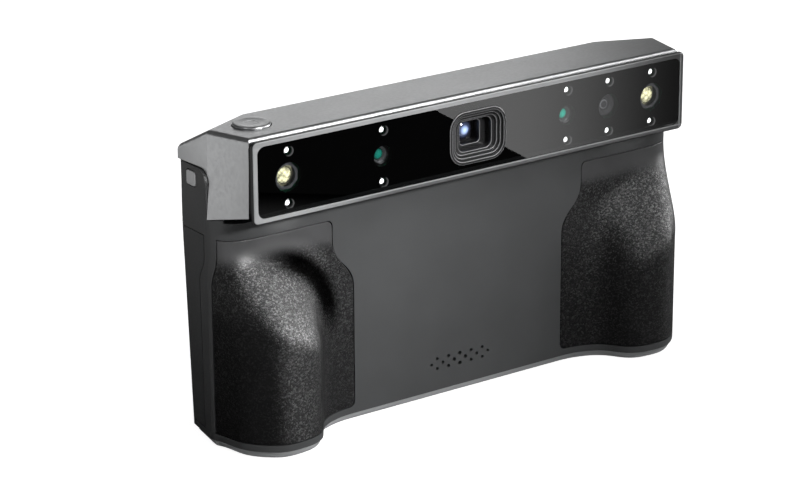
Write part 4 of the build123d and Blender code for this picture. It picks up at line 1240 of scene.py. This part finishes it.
def floor_paper(settings):
    """White paper that keeps the shadow, and that mirrors see bright at the left and behind."""
    made = Finish("floor_paper", rough=0.9)
    made.put("Specular IOR Level", 0.1)
    stops = (0.2, shade(settings.floor, 0.99)), (0.8, tuple(settings.floor))
    made.feed(made.ramp(made.noise(scale=3.0), *stops), "Base Color")
    paper = made.shader.outputs[0]
    white = made.node("ShaderNodeEmission", Strength=FLOOR_WHITE).outputs[0]
    seen = mix_shaders(made.tree, FLOOR_SHARE, paper, white)
    across, most = made.axis("X"), settings.floor_glow
    left = made.span(across, *GLOW_LEFT, most, GLOW_LEAST * most, "LINEAR")
    behind = made.span(made.axis("Y"), *GLOW_BEHIND)
    behind = made.times(behind, made.span(across, *GLOW_BESIDE), most)
    glow = made.math("MAXIMUM", left, behind)
    mirrored = made.node("ShaderNodeEmission", Strength=glow).outputs[0]
    made.surface(ray_mix(made.tree, paper, seen, mirrored))
    return made.material


def lay_floor(settings):
    """A wide sheet of paper just under the base."""
    clear_selection()
    bpy.ops.mesh.primitive_plane_add(size=FLOOR_SIZE, location=(0, 0, -FLOOR_DROP))
    floor = added("floor")
    settle(floor)
    floor.data.materials.append(floor_paper(settings))


def light_world(scene, settings):
    """Light from all round, white to the camera and dim in mirrors."""
    world = scene.world or bpy.data.worlds.new("studio")
    scene.world = world
    world.use_nodes = True
    tree = world.node_tree
    tree.nodes.clear()
    shaders = []
    for strength in (settings.surround, 1.0, settings.mirrored):
        background = tree.nodes.new("ShaderNodeBackground")
        background.inputs["Color"].default_value = (*WHITE, 1.0)
        background.inputs["Strength"].default_value = strength
        shaders.append(background.outputs[0])
    output = tree.nodes.new("ShaderNodeOutputWorld")
    tree.links.new(ray_mix(tree, *shaders), output.inputs["Surface"])


def set_camera(scene, settings):
    """The camera, at the photograph's place and angle."""
    data = bpy.data.cameras.new("photo_camera")
    data.lens = settings.lens
    data.sensor_width = SENSOR_WIDTH
    data.sensor_fit = "HORIZONTAL"
    camera = linked("photo_camera", data)
    right = Vector(CAMERA_RIGHT).normalized()
    ahead = Vector(CAMERA_AHEAD).normalized()
    up = right.cross(ahead).normalized()
    turn = Matrix((right, up, -ahead)).transposed()
    camera.matrix_world = Matrix.Translation(CAMERA_PLACE) @ turn.to_4x4()
    scene.camera = camera


class SCANNER_OT_stage(bpy.types.Operator):
    """Lay the floor, set the lamps and the camera"""

    bl_idname = "scanner.stage"
    bl_label = "Stage"

    def execute(self, context):
        scene = context.scene
        settings = scene.scanner_stage
        scene.view_settings.view_transform = "Standard"
        lay_floor(settings)
        for card in CARDS:
            reflection_card(*card)
        light_world(scene, settings)
        set_lamps(settings)
        set_camera(scene, settings)
        return {"FINISHED"}


class SCANNER_PT_dresser(bpy.types.Panel):
    """The scanner's settings and steps."""

    bl_idname = "SCANNER_PT_dresser"
    bl_label = "Scanner"
    bl_space_type = "VIEW_3D"
    bl_region_type = "UI"
    bl_category = "Scanner"

    def draw(self, context):
        layout = self.layout
        for group in ("scanner_finish", "scanner_detail", "scanner_stage"):
            settings = getattr(context.scene, group)
            box = layout.box()
            for key in settings.bl_rna.properties.keys():
                if key not in ("rna_type", "name"):
                    box.prop(settings, key)
        for step in STEPS:
            layout.operator(step.bl_idname)


STEPS = (
    SCANNER_OT_shell, SCANNER_OT_grips, SCANNER_OT_head, SCANNER_OT_window,
    SCANNER_OT_buttons, SCANNER_OT_screen, SCANNER_OT_inside, SCANNER_OT_stage,
)
CLASSES = (ScannerFinish, ScannerDetail, ScannerStage, *STEPS, SCANNER_PT_dresser)


def register():
    """The classes and settings go into Blender."""
    for made in CLASSES:
        bpy.utils.register_class(made)
    bpy.types.Scene.scanner_finish = PointerProperty(type=ScannerFinish)
    bpy.types.Scene.scanner_detail = PointerProperty(type=ScannerDetail)
    bpy.types.Scene.scanner_stage = PointerProperty(type=ScannerStage)


def unregister():
    """The classes and settings come out again."""
    for name in ("scanner_finish", "scanner_detail", "scanner_stage"):
        delattr(bpy.types.Scene, name)
    for made in reversed(CLASSES):
        bpy.utils.unregister_class(made)


def main():
    """Dress the scanner step by step."""
    register()
    bpy.ops.scanner.shell()
    bpy.ops.scanner.grips()
    bpy.ops.scanner.head()
    bpy.ops.scanner.window()
    bpy.ops.scanner.buttons()
    bpy.ops.scanner.screen()
    bpy.ops.scanner.inside()
    bpy.ops.scanner.stage()


if __name__ == "__main__":
    main()
